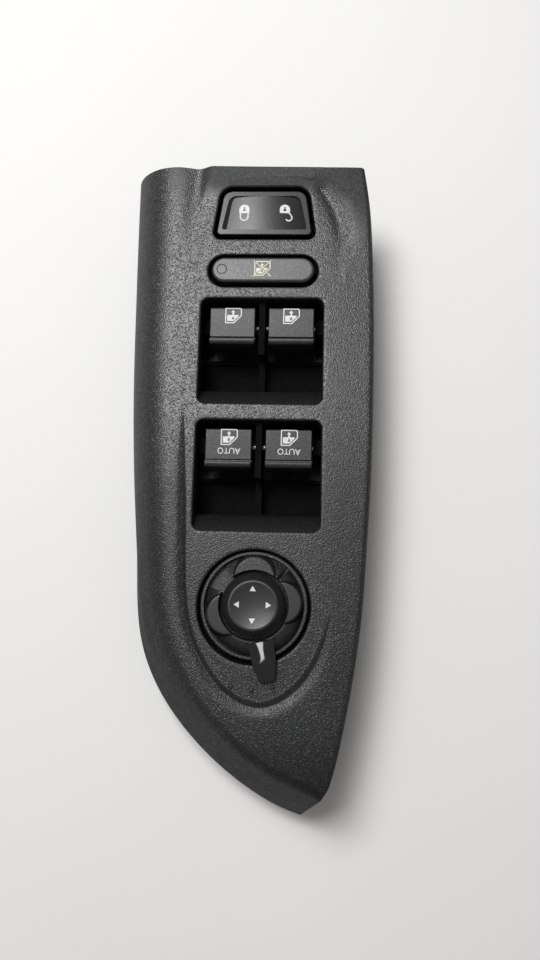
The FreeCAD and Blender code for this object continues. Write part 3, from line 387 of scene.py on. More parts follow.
def outline(corners, step=0.8):
    """Dense closed outline through (x, y, radius) corners, with its outward directions."""
    points, outwards = [], []
    count = len(corners)
    ends = []
    for i, (x, y, radius) in enumerate(corners):
        here = np.array((x, y))
        back = np.array(corners[i - 1][:2]) - here
        ahead = np.array(corners[(i + 1) % count][:2]) - here
        back, ahead = back / np.hypot(*back), ahead / np.hypot(*ahead)
        half = math.acos(np.clip(back @ ahead, -1, 1)) / 2
        middle = here + (back + ahead) / np.hypot(*(back + ahead)) * radius / math.sin(half)
        reach = radius / math.tan(half)
        ends.append((here + back * reach, here + ahead * reach, middle, radius))
    for i, (start, end, middle, radius) in enumerate(ends):
        first = math.atan2(*(start - middle)[::-1])
        last = math.atan2(*(end - middle)[::-1])
        sweep = (last - first) % (2 * math.pi)
        turns = max(3, round(sweep * radius / (step * 0.6)))
        for k in range(turns + 1):
            angle = first + sweep * k / turns
            way = np.array((math.cos(angle), math.sin(angle)))
            points.append(middle + way * radius)
            outwards.append(way)
        following = ends[(i + 1) % count][0]
        length = np.hypot(*(following - end))
        way = outwards[-1]
        runs = max(1, round(length / step))
        for k in range(1, runs):
            points.append(end + (following - end) * k / runs)
            outwards.append(way)
    return np.array(points), np.array(outwards)


def circle_outline(x, y, radius, step=0.8):
    """Dense circle, with its outward directions."""
    count = round(2 * math.pi * radius / step)
    angles = np.arange(count) * 2 * math.pi / count
    ways = np.stack([np.cos(angles), np.sin(angles)], 1)
    return np.array((x, y)) + ways * radius, ways


def inside(loop, points):
    """Which of the points lie inside a closed loop."""
    found = np.zeros(len(points), bool)
    x, y = points[:, 0], points[:, 1]
    for (x0, y0), (x1, y1) in zip(loop, np.roll(loop, -1, axis=0)):
        if y0 == y1:
            continue
        crosses = (y0 > y) != (y1 > y)
        found ^= crosses & (x < x0 + (y - y0) * (x1 - x0) / (y1 - y0))
    return found


def nearest(line, points):
    """Distance from each point to the closest place of a dense line, and that place's index."""
    best = np.full(len(points), 1e9)
    index = np.zeros(len(points), int)
    for start in range(0, len(line), 64):
        part = line[start:start + 64]
        gaps = np.hypot(points[:, None, 0] - part[None, :, 0], points[:, None, 1] - part[None, :, 1])
        close = gaps.argmin(1)
        value = gaps[np.arange(len(points)), close]
        better = value < best
        best[better], index[better] = value[better], close[better] + start
    return best, index


def box_outline(half_width, low, high, radius):
    """Dense rectangle across the middle, with round corners and its outward directions."""
    return outline([(-half_width, low, radius), (half_width, low, radius),
                    (half_width, high, radius), (-half_width, high, radius)])


WINDOWS = (24.55, -24.55)
WINDOW_HALF_LENGTH = 21.3
WINDOW_WALL, SMALL_WALL = 8.0, 4.4
OPENINGS = [
    (outline([(-20.7, 70.8, 3.0), (20.7, 70.8, 3.0), (17.6, 92.4, 5.5), (-17.6, 92.4, 5.5)]),
     SMALL_WALL),
    (box_outline(21.75, 50.7, 63.9, 6.59), SMALL_WALL),
    (circle_outline(0.0, -73.7, 20.9), SMALL_WALL),
]
for middle in WINDOWS:
    front, rear = middle - WINDOW_HALF_LENGTH, middle + WINDOW_HALF_LENGTH
    OPENINGS.append((box_outline(24, front, rear, 3.0), WINDOW_WALL))

pocket_line, pocket_ways = outline(
    [(-27.6, 48.0, 0.5), (32.8, 48.0, 0.5), (21.5, 96.2, 11.0), (-24.0, 96.2, 2.0)], 0.5)


def dense(points, step=0.5):
    """Dense smooth line through plan points, with its heading, its places and its whole length."""
    keys = np.concatenate([[0.0], np.cumsum(np.hypot(*np.diff(np.array(points), axis=0).T))])
    places = np.arange(0.0, keys[-1], step)
    line = spline(keys, points)(places)
    return line, np.gradient(line, axis=0), places, keys[-1]


def off_line(line, heading, points):
    """Distance of points from a dense line, the nearest index, and the side, above 0 on the left."""
    gap, index = nearest(line, points)
    away = points - line[index]
    return gap, index, heading[index, 0] * away[:, 1] - heading[index, 1] * away[:, 0]


groove_line, groove_heading, groove_places, groove_length = dense(GROOVE, 0.4)
# Each dip has its line, its depth, its runs towards the panel's left and right, and the share of its
# length over which it begins.
dips = [(dense(RIGHT_DIP), 1.25, 3.2, 6.0, 0.12), (dense(LEFT_DIP), 0.40, 4.0, 3.4, 0.0)]


def top_height(points):
    """Height of the fascia's upper face over plan points: head, island, and the groove round it."""
    x, y = points[:, 0], points[:, 1]
    rise = np.maximum(0.0, y - HEAD_START) ** 2 / (2 * HEAD_RADIUS)
    crest = left_edge(np.clip(y, -140, 101))
    across = (x - crest) / (right_edge(np.clip(y, -130, 99)) - crest)
    share = np.full(len(x), SHARES[0][1])
    for (t0, s0), (t1, s1) in zip(SHARES, SHARES[1:]):
        share += (s1 - s0) * ease(t0, t1, across)
    head = rise * share
    gap, index = nearest(pocket_line, points)
    gap = np.where(inside(pocket_line, points), -gap, gap)
    island = rise * 0.74 * ease(83.0, 97.0, y)
    steep = 0.14 + 1.6 * ease(0.80, 0.98, pocket_ways[index, 1]) * ease(-25.0, -19.0, x)
    pocket = island + steep * soft_max(gap, 0.0, 0.7) - 0.05
    height = -soft_max(-head, -pocket, 0.3 * ease(0.0, 1.0, rise) + 0.001)
    height += 0.10 * ease(0.0, 1.0, rise)
    height = head + (height - head) * ease(0.0, 0.12, rise)
    for (line, heading, places, length), depth, left_run, right_run, start in dips:
        gap, index, side = off_line(line, heading, points)
        run = np.where(side > 0, right_run, left_run)
        share_on = places[index] / length
        fade = ease(-0.02, start, share_on) * (1.0 - ease(0.35, 1.0, share_on))
        height -= depth * fade * np.exp(-(gap / run) ** 2 * 1.6)
    gap, index, side = off_line(groove_line, groove_heading, points)
    place_on = groove_places[index]
    fade = ease(8.0, 62.0, place_on) * ease(0.0, 34.0, groove_length - place_on)
    low_end = ease(100.0, 140.0, place_on)
    bank = np.where(side > 0, 1.0 - 0.42 * low_end, 0.52 - 0.14 * low_end)
    brink = np.where(side > 0, 0.18, 0.6 - 0.38 * low_end)
    valley = (GROOVE_DEPTH - 0.02 * low_end) * fade - bank * np.sqrt(gap * gap + 0.2 * 0.2)
    bead = 0.14 * low_end * fade * np.exp(-((gap * np.where(side > 0, 1, -1) - 1.9) / 0.55) ** 2)
    return height + bead - soft_max(valley, 0.0, brink * fade + 0.001) * ease(0.0, 0.3, fade)


def cross_section(row):
    """Left end of a station in plan, the direction to its right end, and its width."""
    left = row[2:4]
    across = row[0:2] - left
    span = np.hypot(*across)
    return left, across / span, span


def skin_point(left, across, run, height):
    """Point of the skin at a run from the left end, kept inside the moulding's width."""
    flat = left + across * run
    return min(max(flat[0], -54.999), 43.91), flat[1], height


def shoulder_and_skirt(row):
    """Points from the crest of the shoulder, over its round, down to the skirt's foot."""
    left, across, _ = cross_section(row)
    slope_run, crest_run, depth = row[4:]
    crest_run = max(crest_run, slope_run + 0.5)
    crest_xy = left + across * crest_run
    level = top_height(crest_xy[None])[0]
    corner = np.array((slope_run, level))
    wall = np.array((0.0, -SKIRT_DROP)) - corner
    length = np.hypot(*wall)
    start = corner + wall / length * depth
    crest = np.array((crest_run, level))
    poles = (crest, crest + ROUND_POLE * (corner - crest), start + (corner - start) * ROUND_POLE, start)
    points = []
    for t in np.linspace(0, 1, 19):
        weights = (1 - t) ** 3, 3 * t * (1 - t) ** 2, 3 * t * t * (1 - t), t ** 3
        points.append(sum(w * p for w, p in zip(weights, poles)))
    foot = np.array((0.0, -SKIRT_DROP))
    for t in np.linspace(0, 1, 7)[1:]:
        points.append(start + (foot - start) * t)
    return [skin_point(left, across, run, z) for run, z in points]


def edge_and_flange(row):
    """Points from the end of the flat face, over the right edge, down to the flange's foot."""
    left, across, span = cross_section(row)
    flat_end = span - EDGE_RADIUS
    level = top_height((left + across * flat_end)[None])[0]
    points = []
    for t in np.linspace(0, math.pi / 2, 6):
        points.append((flat_end + EDGE_RADIUS * math.sin(t), level - EDGE_RADIUS * (1 - math.cos(t))))
    for t in (0.5, 1.0):
        points.append((span, level - EDGE_RADIUS - t * (FLANGE_DROP - EDGE_RADIUS)))
    return [skin_point(left, across, run, z) for run, z in points]


def face_spots(loops):
    """Plan points for the face inside the loops: an even spread, and close rows along its forms."""
    spots = []
    for x in np.arange(-50.0, 46.0, GRID):
        for y in np.arange(-153.0, 103.0, GRID):
            spots.append((x + 0.23 * math.sin(7.0 * y), y + 0.23 * math.sin(5.0 * x)))
    spots = np.array(spots)
    gap, _ = nearest(groove_line, spots)
    spots = spots[gap > 3.4]
    upper = pocket_line[:, 1] > 84.0
    gap, _ = nearest(pocket_line[upper], spots)
    fine = [spots[gap > 2.7]]
    unit = groove_heading / np.hypot(*groove_heading.T)[:, None]
    sideways = np.stack([-unit[:, 1], unit[:, 0]], 1)
    for offset in GROOVE_ROWS:
        fine.append((groove_line + sideways * offset)[::3])
    for offset in POCKET_ROWS:
        fine.append((pocket_line + pocket_ways * offset)[upper])
        if -0.5 < offset < 1.0:
            fine.append((pocket_line + pocket_ways * offset)[~upper][::2])
    spots = np.concatenate(fine)
    gap, _ = nearest(loops[0], spots)
    spots = spots[inside(loops[0], spots) & (gap > 0.45)]
    for loop in loops[1:]:
        gap, _ = nearest(loop, spots)
        spots = spots[~inside(loop, spots) & (gap > 0.4)]
    return spots


def triangulated(loops, spots):
    """Triangles over closed plan loops and spots, with their points, origins and middles."""
    points, links = [], []
    for loop in loops:
        start = len(points)
        points += [Vector(p) for p in loop]
        links += [(start + k, start + (k + 1) % len(loop)) for k in range(len(loop))]
    points += [Vector(p) for p in spots]
    made, _, triangles, origins, _, _ = delaunay_2d_cdt(points, links, [], 1, 1e-5)
    middles = np.array([sum((made[i] for i in t), Vector((0, 0))) / 3 for t in triangles])
    return made, triangles, origins, middles


def skin_mesh():
    """Vertices and faces of the fascia's outer skin, in millimetres."""
    verts, faces = [], []

    def add(point):
        verts.append(tuple(point))
        return len(verts) - 1

    def strip(first, second):
        for a, b, c, d in zip(first, first[1:], second[1:], second):
            faces.append((a, b, c, d))

    rows = station_at(np.linspace(0.0, station_keys[-1], 200))
    shoulders = [[add(p) for p in shoulder_and_skirt(row)] for row in rows]
    edges = [[add(p) for p in edge_and_flange(row)] for row in rows]
    for near, far in zip(shoulders, shoulders[1:]):
        strip(near, far)
    for near, far in zip(edges, edges[1:]):
        strip(far, near)
    ends = []
    for which in (0, -1):
        first, last = np.array(verts[shoulders[which][0]]), np.array(verts[edges[which][0]])
        count = max(3, round(np.hypot(*(last - first)[:2]) / GRID))
        plan = np.array([first[:2] + (last - first)[:2] * k / count for k in range(1, count)])
        ends.append([add((x, y, z)) for (x, y), z in zip(plan, top_height(plan))])
    border = [row[0] for row in shoulders] + ends[1] + [row[0] for row in edges][::-1] + ends[0][::-1]
    for which, sign in ((0, 1), (-1, -1)):
        line = shoulders[which][::-1] + ends[which] + edges[which]
        low_a, low_b = np.array(verts[line[0]]), np.array(verts[line[-1]])
        reach = np.hypot(*(low_b - low_a)[:2])
        below = [line[0]]
        for i in line[1:-1]:
            share = np.hypot(*(np.array(verts[i]) - low_a)[:2]) / reach
            below.append(add(low_a + (low_b - low_a) * share))
        below.append(line[-1])
        for a, b, c, d in zip(line, line[1:], below[1:], below):
            ring = [i for k, i in enumerate((a, b, c, d)) if i not in (a, b, c, d)[:k]]
            if len(ring) > 2:
                faces.append(tuple(ring[::sign]))
    flat = [np.array([verts[i][:2] for i in border])]
    loops = [border]
    for (line, ways), depth in OPENINGS:
        levels = []
        for angle in np.radians((0, 22.5, 45, 67.5, 90)):
            gap = BRINK * (1 - math.sin(angle))
            drop = BRINK * (1 - math.cos(angle))
            plan = line + ways * gap
            levels.append([add((x, y, z - drop)) for (x, y), z in zip(plan, top_height(plan))])
        for down in (0.5, 1.0):
            levels.append([add((x, y, -BRINK - down * (depth - BRINK))) for x, y in line])
        for near, far in zip(levels, levels[1:]):
            strip(near + near[:1], far + far[:1])
        loops.append(levels[0])
        flat.append(np.array([verts[i][:2] for i in levels[0]]))
    spots = face_spots(flat)
    owners = [i for loop in loops for i in loop]
    owners += [add((x, y, z)) for (x, y), z in zip(spots, top_height(spots))]
    _, triangles, origins, middles = triangulated(flat, spots)
    keep = np.ones(len(triangles), bool)
    for loop in flat[1:]:
        keep &= ~inside(loop, middles)
    for triangle, wanted in zip(triangles, keep):
        if wanted:
            faces.append(tuple(owners[origins[i][0]] for i in triangle))
    return verts, faces


def mesh_piece(name, verts, faces, material):
    """Mesh object from points in millimetres, off the middle of the window keys."""
    piece = new_object(name, [place(*v) for v in verts], faces, material)
    piece.data.validate()
    return piece


FASCIA_BLACK = (0.0060, 0.0066, 0.0070)
GRAIN_PITCH = 0.00050
GRAIN_DEPTH = 0.00013
HEAD_LOW, HEAD_HIGH = 0.0382, 0.0398
PAINTED_SHADE_STEPS = 12


def grained(name, shade_step):
    """The fascia's plastic, duller on its head above the island, and at each step of painted shade less
    shiny, rougher and with fainter painted glints.
    """
    roughness, level, painted_glint = 0.29 + 0.02 * shade_step, 0.62 * 0.86 ** shade_step, 1.8 - 0.1 * shade_step
    made = moulded(name, FASCIA_BLACK, roughness, GRAIN_PITCH, GRAIN_DEPTH, painted_glint, level=level)
    tree = made.node_tree
    shader = tree.nodes["Principled BSDF"]
    spot = node(tree, "ShaderNodeSeparateXYZ")
    on_object(tree, spot)
    head = node(tree, "ShaderNodeMapRange", {"interpolation_type": "SMOOTHSTEP"},
                Value=spot.outputs["Z"], From_Min=HEAD_LOW, From_Max=HEAD_HIGH)
    duller = maths(tree, "MULTIPLY", head.outputs["Result"], 0.34)
    duller = maths(tree, "ADD", duller, shader.inputs["Roughness"].links[0].from_socket)
    tree.links.new(duller, shader.inputs["Roughness"])
    softer = maths(tree, "MULTIPLY", head.outputs["Result"], -0.7)
    softer = maths(tree, "ADD", softer, 1.0)
    bump = shader.inputs["Normal"].links[0].from_node
    height = maths(tree, "MULTIPLY", bump.inputs["Height"].links[0].from_socket, softer)
    tree.links.new(height, bump.inputs["Height"])
    return made


fascia_plastic = grained("fascia_grained_plastic", 0)
# Painted shade in the pits: their slopes take a darker, rougher and less shiny copy of the grain.
pit_slope_painted_shade = moulded(
    "fascia_pit_painted_shade_plastic", (0.004, 0.0041, 0.0044), 0.5, 0.00036, 0.00006, 1.4, level=0.28)
# Twelve copies of the plastic, each less shiny than the last: the steps of painted shade.
painted_shade_steps = [grained("fascia_painted_shade_step_%d" % k, k) for k in range(1, PAINTED_SHADE_STEPS + 1)]
verts, faces = skin_mesh()
fascia = mesh_piece("fascia_moulding", verts, faces, fascia_plastic)
solid = fascia.modifiers.new("wall", "SOLIDIFY")
solid.thickness = SHELL * MM
solid.offset = -1.0


def band(near, far):
    """Faces between two rings of points, either of which may be a single point."""
    faces = []
    for k in range(max(len(near), len(far))):
        ring = [near[k % len(near)], near[(k + 1) % len(near)],
                far[(k + 1) % len(far)], far[k % len(far)]]
        ring = [i for n, i in enumerate(ring) if i not in ring[:n]]
        if len(ring) > 2:
            faces.append(tuple(ring))
    return faces


def closed_prism(loop, low, high):
    """Upright closed prism over a plan loop that turns left."""
    count = len(loop)
    verts = [(x, y, low) for x, y in loop] + [(x, y, high) for x, y in loop]
    foot, top = range(count), range(count, 2 * count)
    return verts, [tuple(foot)[::-1], tuple(top)] + band(foot, top)


def turned(profile, x=0.0, y=0.0, turns=32, closed=False):
    """Solid turned about an upright axis through (x, y), from (radius, z) points."""
    verts, rings, faces = [], [], []
    for radius, z in profile:
        count = turns if radius > 1e-6 else 1
        rings.append(list(range(len(verts), len(verts) + count)))
        for k in range(count):
            angle = 2 * math.pi * k / turns
            verts.append((x + radius * math.cos(angle), y + radius * math.sin(angle), z))
    pairs = list(zip(rings, rings[1:])) + ([(rings[-1], rings[0])] if closed else [])
    for near, far in pairs:
        faces += band(near, far)
    return verts, faces


def join_parts(parts):
    """Several parts as one list of vertices and one of faces."""
    verts, faces = [], []
    for more_verts, more_faces in parts:
        base = len(verts)
        verts += more_verts
        faces += [tuple(i + base for i in face) for face in more_faces]
    return verts, faces


def finish_mesh(piece, angle=38.0):
    """Makes the shape with its modifiers the piece's own mesh, and shades round forms smooth."""
    graph = bpy.context.evaluated_depsgraph_get()
    mesh = bpy.data.meshes.new_from_object(piece.evaluated_get(graph))
    piece.modifiers.clear()
    piece.data = mesh
    for polygon in mesh.polygons:
        polygon.use_smooth = True
    mesh.set_sharp_from_angle(angle=math.radians(angle))


def facing_out(mesh):
    """Turns the faces of closed shells outwards."""
    work = bmesh.new()
    work.from_mesh(mesh)
    bmesh.ops.recalc_face_normals(work, faces=work.faces)
    work.to_mesh(mesh)
    work.free()


BOSSES = [(-33.5, 66.0), (33.5, 66.0), (-33.5, -22.0), (33.5, -22.0), (4.0, -116.5)]
BOSS_PROFILE = [(3.5, -12.0), (3.5, -1.4), (1.2, -1.4), (1.2, -11.6), (1.6, -12.0)]
CLIP_RAILS = [(-44.0, 44.0), (-40.2, -40.0), (37.6, 44.0), (36.4, -44.0), (20.0, -124.0)]
RAIL_BARS = [(1.2, 4.5, -17.0), (3.0, 1.2, -9.0)]
RAIL_GAP = 0.9
DOTS = [(-7.4, -102.3), (0.1, -103.4), (7.8, -102.2)]
DOT_RADIUS, DOT_RISE, DOT_SUNK = 0.95, 0.62, 0.15
SLOPE_HALF_WIDTH = 24.4


def top_tree(mesh):
    """Search tree of a mesh, for rays from above."""
    corners = [v.co.copy() for v in mesh.vertices]
    return BVHTree.FromPolygons(corners, [tuple(p.vertices) for p in mesh.polygons])


finish_mesh(fascia)
wall = top_tree(fascia.data)
DOWN = Vector((0, 0, -1))
fittings = [turned(BOSS_PROFILE, x, y, closed=True) for x, y in BOSSES]
for x, y in CLIP_RAILS:
    for half_x, half_y, low in RAIL_BARS:
        bars = [(x + i * half_x, y + j * half_y) for i, j in ((-1, -1), (1, -1), (1, 1), (-1, 1))]
        tops = [wall.ray_cast(place(*corner, 20.0), DOWN)[0].z / MM - FACE_HEIGHT for corner in bars]
        rail, _ = outline([(*corner, 0.4) for corner in bars])
        fittings.append(closed_prism([tuple(p) for p in rail], low, min(tops) - RAIL_GAP))
slopes = []
for middle in WINDOWS:
    front = middle - WINDOW_HALF_LENGTH
    face = [(front - 0.1, -0.55), (front + 0.7, -1.1), (front + 6.0, -6.6), (front + 6.7, -7.6),
            (front + 6.7, -9.1), (front + 5.2, -9.0), (front - 1.0, -2.4)]
    verts, faces = closed_prism(face[::-1], -SLOPE_HALF_WIDTH, SLOPE_HALF_WIDTH)
    slopes.append(([(x, y, z) for y, z, x in verts], faces))
for x, y in DOTS:
    level = top_height(np.array([(x, y)]))[0]
    foot = level - DOT_SUNK
    arc = np.linspace(0, math.pi / 2, 6)[:-1]
    dome = [(DOT_RADIUS * math.cos(t), foot + DOT_RISE * math.sin(t)) for t in arc]
    profile = [(0.0, level - 0.4), (DOT_RADIUS, level - 0.4)] + dome + [(0.0, foot + DOT_RISE)]
    fittings.append(turned(profile, x, y, 20))

extras = mesh_piece("fascia_fittings", *join_parts(fittings), fascia_plastic)
slope_walls = mesh_piece("fascia_slopes", *join_parts(slopes), pit_slope_painted_shade)
for polygon in slope_walls.data.polygons:
    polygon.material_index = 1
work = bmesh.new()
work.from_mesh(fascia.data)
for extra in (extras, slope_walls):
    facing_out(extra.data)
    work.from_mesh(extra.data)
    bpy.data.objects.remove(extra)
work.to_mesh(fascia.data)
work.free()
for finish in [pit_slope_painted_shade] + painted_shade_steps:
    fascia.data.materials.append(finish)

# Painted shade: steep walls, the right strip and the lower end get less shine, more towards the bottom.
# Each face takes one of the painted shade steps, with a little chance, so that the steps blend.
chance = np.random.default_rng(4)
for polygon in fascia.data.polygons:
    if polygon.material_index == 0:
        x, y = polygon.center.x / MM - MIDDLE[0], polygon.center.y / MM - MIDDLE[1]
        steep = 1.0 - ease(0.35, 0.95, abs(polygon.normal.z))
        flat = 0.16 * ease(-10.0, 45.0, -y) + 0.6 * ease(108.0, 150.0, -y) + 0.09 * ease(18.0, 34.0, x)
        share = min(1.0, max(steep * (0.5 + 0.5 * ease(15.0, 95.0, -y)), flat))
        step = min(PAINTED_SHADE_STEPS, int(float(share) * PAINTED_SHADE_STEPS + chance.random()))
        polygon.material_index = step + 1 if step else 0
for polygon in fascia.data.polygons:
    polygon.use_smooth = True
fascia.data.set_sharp_from_angle(angle=math.radians(38))
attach(fascia, "root")
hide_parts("fascia")

# Switch unit: a deep black box behind the fascia, in two halves of glass-filled plastic that six screws
# hold together. Its carrier's black is deepened to near-black with almost no shine, as painted shade
# for its pits, cheeks and dividers between the keys.


def dress(names, material):
    """Gives CAD nodes their finish."""
    for name in names:
        slots = nodes[name].data.materials
        slots.clear()
        slots.append(material)


# Painted shade: the carrier is darker and less shiny than its black plastic, for the shade in the pits.
unit_painted_shade = moulded(
    "unit_black_painted_shade", (0.0011, 0.0011, 0.0012), 0.7, 0.0006, 0.00003, 0.5, level=0.07)
dress(["switch_carrier"], unit_painted_shade)
cover_plastic = moulded(
    "cover_matt_plastic", (0.014, 0.014, 0.015), 0.62, 0.0009, 0.00006, 0.5, level=0.4)
dress(["rear_cover", "connector_header"], cover_plastic)


# Screws: six hold the rear cover and five hold the unit to the fascia's bosses. Each is a pressed
# pan head with a cross recess and a rolled thread, in zinc-plated steel.
QUARTER_TURN = 1.57


def repeated(name, part, places, material, seed=3):
    """One mesh of a part set at many places with geometry nodes, each with its own turn."""
    tree = bpy.data.node_groups.new(name + "_repeat", "GeometryNodeTree")
    sizes = (("Part", "Object"), ("Scale", "Float"), ("Seed", "Int"), ("Most Turn", "Float"))
    for label, kind in (("Geometry", "Geometry"), *sizes):
        tree.interface.new_socket(label, in_out="INPUT", socket_type="NodeSocket" + kind)
    tree.interface.new_socket("Geometry", in_out="OUTPUT", socket_type="NodeSocketGeometry")
    into, out = node(tree, "NodeGroupInput"), node(tree, "NodeGroupOutput")
    source = node(tree, "GeometryNodeObjectInfo")
    spread = node(tree, "GeometryNodeInstanceOnPoints")
    chance = node(tree, "FunctionNodeRandomValue")
    heading = node(tree, "ShaderNodeCombineXYZ")
    real = node(tree, "GeometryNodeRealizeInstances")
    paint = node(tree, "GeometryNodeSetMaterial", Material=material)
    for start, end in (
        (into.outputs["Part"], source.inputs["Object"]),
        (into.outputs["Geometry"], spread.inputs["Points"]),
        (source.outputs["Geometry"], spread.inputs["Instance"]),
        (into.outputs["Most Turn"], chance.inputs[3]),
        (into.outputs["Seed"], chance.inputs["Seed"]),
        (chance.outputs[1], heading.inputs["Z"]),
        (heading.outputs["Vector"], spread.inputs["Rotation"]),
        (into.outputs["Scale"], spread.inputs["Scale"]),
        (spread.outputs["Instances"], real.inputs["Geometry"]),
        (real.outputs["Geometry"], paint.inputs["Geometry"]),
        (paint.outputs["Geometry"], out.inputs["Geometry"]),
    ):
        tree.links.new(start, end)
    template = new_object(name + "_part", [Vector(v) * MM for v in part[0]], part[1])
    facing_out(template.data)
    made = new_object(name, [place(*p) for p in places], [])
    repeat = made.modifiers.new("repeat", "NODES")
    repeat.node_group = tree
    given = [item for item in tree.interface.items_tree if item.in_out == "INPUT"]
    sockets = {item.name: item.identifier for item in given}
    repeat[sockets["Part"]] = template
    repeat[sockets["Scale"]] = 1.0
    repeat[sockets["Seed"]] = seed
    repeat[sockets["Most Turn"]] = 0.0 if seed == 0 else QUARTER_TURN
    finish_mesh(made, 32.0)
    bpy.data.objects.remove(template)
    return made


def metal(name, colour, roughness, tarnish=0.2):
    """Bare metal with a fine uneven finish and slight tarnish."""
    made, tree, shader = new_material(name, colour, roughness, 1.0)
    fine = node(tree, "ShaderNodeTexNoise", Scale=900.0, Detail=4.0, Roughness=0.6)
    shade = placed_group(tree, shade_group, Amount=tarnish, Scale=260.0)
    on_object(tree, fine, shade)
    scaled_colour(tree, shader, colour, shade.outputs["Shade"])
    dull = maths(tree, "MULTIPLY", fine.outputs["Fac"], roughness * 0.8)
    dull = maths(tree, "ADD", dull, roughness * 0.6)
    tree.links.new(dull, shader.inputs["Roughness"])
    relief(tree, shader, fine.outputs["Fac"], 0.6, 0.00001)
    return made


THREAD_PITCH = 0.9
THREAD_DEPTH = 0.28


def screw_part(head_radius, head_height, shank_radius, shank_length):
    """Screw with its head down, its seat at z = 0 and its thread up."""
    shares = np.linspace(0.0, 0.96, 16)
    profile = [(head_radius * share, -head_height + 0.5 * share ** 3) for share in shares]
    profile += [(head_radius, -head_height + 0.8), (head_radius, -0.15), (head_radius - 0.15, 0.0),
                (shank_radius, 0.0)]
    for k in range(int(shank_length / THREAD_PITCH)):
        z = 0.4 + k * THREAD_PITCH
        profile += [(shank_radius - THREAD_DEPTH, z), (shank_radius, z + 0.4)]
    profile += [(shank_radius - 0.3, shank_length - 0.4), (0.0, shank_length)]
    verts, faces = turned(profile, turns=56)
    cut = []
    for x, y, z in verts:
        if z < -0.9 * head_height + 0.45:
            near, far = sorted((abs(x) / head_radius, abs(y) / head_radius))
            z += float((1.0 - ease(0.16, 0.24, near)) * (1.0 - ease(0.52, 0.62, far)))
        cut.append((x, y, z))
    return cut, faces


screw_steel = metal("zinc_plated_steel", (0.52, 0.52, 0.54), 0.34)
cover_places = [(x, y, -35.4) for y in (88.0, -51.2, -92.0) for x in (-23.2, 23.2)]
cover_screws = repeated("cover_screw_set", screw_part(2.6, 1.8, 1.1, 17.0), cover_places, screw_steel)
unit_places = [(x, y, -14.5) for x, y in BOSSES]
unit_screws = repeated(
    "unit_screw_set", screw_part(3.0, 2.0, 1.15, 9.2), unit_places, screw_steel, seed=5)
for piece, stood_for in ((cover_screws, "cover_screws"), (unit_screws, "carrier_screws")):
    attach(piece, "root")
    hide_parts(stood_for)

# Clips: five clips bent from spring-steel strip, pushed over the fascia's rails, that snap into the
# trim. The selector's detent spring is bent from the same strip.
spring_steel = metal("clip_spring_steel", (0.36, 0.36, 0.38), 0.4, 0.3)
dress(["fascia_clips", "selector_detent_spring"], spring_steel)

# Connector: sixteen square pins with pressed points, soldered into the board and tinned. They
# stand in the header's socket, open to the back.
pin_plate = metal("tinned_pins", (0.66, 0.63, 0.52), 0.3)
PIN_HALF, PIN_POINT_HALF = 0.32, 0.14
PIN_FOOT = -35.0
PIN_PITCH = 3.6
pin_verts, pin_faces = [], []
for z, half in ((0.0, PIN_POINT_HALF), (0.7, PIN_HALF), (9.3, PIN_HALF), (9.7, PIN_POINT_HALF)):
    pin_verts += [(i * half, j * half, z) for i, j in ((-1, -1), (1, -1), (1, 1), (-1, 1))]
for low in (0, 4, 8):
    pin_faces += band(range(low, low + 4), range(low + 4, low + 8))
pin_faces += [(3, 2, 1, 0), (12, 13, 14, 15)]
pin_places = [((i - 3.5) * PIN_PITCH, y, PIN_FOOT) for i in range(8) for y in (11.7, 16.3)]
pins = repeated("connector_pin_set", (pin_verts, pin_faces), pin_places, pin_plate, seed=0)
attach(pins, "root")
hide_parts("connector_pins")

# Board: a glass-epoxy board with dark green lacquer over copper tracks. The silicone contact mat, the
# lamps and the controller chip sit on it, and the selector's bronze wiper runs over it.
board_finish, tree, shader = new_material("dark_green_board", (0.003, 0.012, 0.006), 0.4)
shader.inputs["Specular IOR Level"].default_value = 0.2
tracks = node(tree, "ShaderNodeTexVoronoi", {"feature": "DISTANCE_TO_EDGE"}, Scale=240.0)
weave = node(tree, "ShaderNodeTexNoise", Scale=1400.0, Detail=2.0)
on_object(tree, tracks, weave)
track = maths(tree, "MULTIPLY", tracks.outputs["Distance"], 9.0, clamp=True)
tone = node(tree, "ShaderNodeMix", {"data_type": "RGBA"}, Factor=track,
            A=(0.006, 0.024, 0.011, 1.0), B=(0.0022, 0.010, 0.005, 1.0))
tree.links.new(tone.outputs["Result"], shader.inputs["Base Color"])
dull = maths(tree, "MULTIPLY", weave.outputs["Fac"], 0.2)
tree.links.new(maths(tree, "ADD", dull, 0.25), shader.inputs["Roughness"])
relief(tree, shader, track, 0.5, 0.00003)
dress(["circuit_board"], board_finish)
silicone = moulded("dark_silicone", (0.03, 0.03, 0.031), 0.6, 0.0012, 0.00003, 0.2, level=0.25)
dress(["dome_mat"], silicone)
chip_case = moulded("chip_epoxy", (0.012, 0.012, 0.013), 0.55, 0.0004, 0.00002, 0.4, level=0.4)
dress(["controller_chip"], chip_case)
lamp_case = moulded("lamp_resin", (0.75, 0.74, 0.62), 0.25, 0.0005, 0.000005, 0.1)
dress(["backlight_leds"], lamp_case)
dress(["selector_wiper"], metal("wiper_bronze", (0.62, 0.42, 0.22), 0.3))

# Window keys: four rocking caps of satin black plastic, each pair on one steel rod. Their faces are
# finer than the fascia's, and a rolled lip lets a finger pull.
key_plastic = moulded(
    "key_satin_plastic", (0.009, 0.0092, 0.0098), 0.36, 0.00038, 0.00004, 1.6, level=0.42)
dress(["key_rear_left", "key_rear_right", "key_front_left", "key_front_right"], key_plastic)
dress(["key_axle_rear", "key_axle_front"], metal("axle_steel", (0.3, 0.3, 0.31), 0.35))

